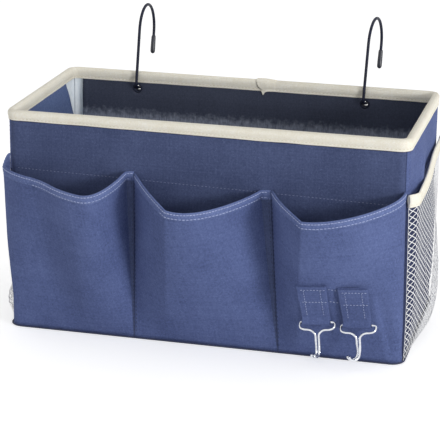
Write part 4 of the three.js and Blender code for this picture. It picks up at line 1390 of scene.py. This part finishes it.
def smooth_line(points, count):
    """A centripetal line through points, count steps between two of them."""
    padded = [2 * points[0] - points[1], *points, 2 * points[-1] - points[-2]]
    line = [points[0].copy()]
    for a, b, c, d in zip(padded, padded[1:], padded[2:], padded[3:]):
        t1 = (b - a).length ** 0.5
        t2 = t1 + (c - b).length ** 0.5
        t3 = t2 + (d - c).length ** 0.5
        for t in steps(t1, t2, count)[1:]:
            middle = b.lerp(c, (t - t1) / (t2 - t1))
            before = a.lerp(b, t / t1).lerp(middle, t / t2)
            after = middle.lerp(c.lerp(d, (t - t2) / (t3 - t2)), (t - t1) / (t3 - t1))
            line.append(before.lerp(after, (t - t1) / (t2 - t1)))
    return line


for side, angle in HOOK_TURNS.items():
    points = key_hook_half(-1, angle)[::-1] + key_hook_half(1, angle)
    line = [PIVOTS[f"key_hook_{side}"] + TAB_TILT @ p for p in smooth_line(points, 6)]
    wire_piece(
        f"wire_key_hook_{side}", line, KEY_WIRE / 2, bright_wire, f"key_hook_{side}",
        f"key_hook_{side}")

# %% [markdown]
# ## The boards
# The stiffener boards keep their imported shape: they are flat, and only a strip of them shows at the open
# corner of the lining. They get the white plastic finish.

# %% Boards
BOARDS = [f"{side}_board" for side in (*SIDES, "base")]
for node in BOARDS:
    board = bpy.data.objects[node]
    board.data.materials.clear()
    board.data.materials.append(white_board)
print("boards:", BOARDS)

# %% [markdown]
# ## Floor and light
# The picture has a plain white ground. The floor is white and keeps the soft shadow; for camera rays it
# glows a little, so that it reads as white. The world is white to the camera and to reflections, and a
# softer white light otherwise. One lamp stands low to the right: it reaches the pocket faces and the right
# wall, and each pleat throws a wedge of shade on the turned end of the pocket beside it.

# %% Floor
FLOOR_GLOW, FLOOR_SIZE = 0.47, 6.0


def shown_rays(tree):
    """1 for the rays that show a surface to the camera, straight on or in a reflection."""
    rays = new_node(tree, "LightPath").outputs
    seen = math_node(tree, "MAXIMUM", rays["Is Camera Ray"], rays["Is Glossy Ray"])
    return math_node(tree, "MAXIMUM", seen, rays["Is Transmission Ray"])


def make_floor():
    bm = bmesh.new()
    bmesh.ops.create_grid(bm, x_segments=1, y_segments=1, size=FLOOR_SIZE)
    mesh = mesh_from("floor", bm)
    material, tree, shader = new_material("white_floor")
    fill(tree, shader, Base_Color=(0.86, 0.86, 0.86, 1), Roughness=0.9, Specular_IOR_Level=0.1)
    glow = new_node(tree, "Emission", Strength=math_node(tree, "MULTIPLY", shown_rays(tree), FLOOR_GLOW))
    total = new_node(tree, "AddShader")
    for socket, part in zip(total.inputs, (shader, glow)):
        tree.links.new(part.outputs[0], socket)
    fill(tree, next(n for n in tree.nodes if n.type == "OUTPUT_MATERIAL"), Surface=total.outputs[0])
    mesh.materials.append(material)
    add_object("floor", mesh)


# %% World and lamp
WORLD_LIGHT = 0.7


def make_world():
    world = bpy.data.worlds.new("studio")
    bpy.context.scene.world = world
    world.use_nodes = True
    tree = world.node_tree
    background = next(n for n in tree.nodes if n.type == "BACKGROUND")
    strength = blend(tree, "FLOAT", shown_rays(tree), WORLD_LIGHT, 1.0)
    fill(tree, background, Color=(1, 1, 1, 1), Strength=strength)


def add_lamp(name, place, target, size, power):
    data = bpy.data.lights.new(name, "AREA")
    data.shape = "DISK"
    data.size = size
    data.energy = power
    aim(add_object(name, data), place, Vector(target) - Vector(place))


make_floor()
make_world()
add_lamp("right_lamp", place=(1.798, -1.124, 0.502), target=(0.0, 0.0, 0.09), size=0.5, power=20.5)
bpy.context.scene.view_settings.view_transform = "Standard"
print("floor, world and lamp are in place")

# %% [markdown]
# ## The finish
# The view layer is updated once more at the end.

# %% Finish
bpy.context.view_layer.update()
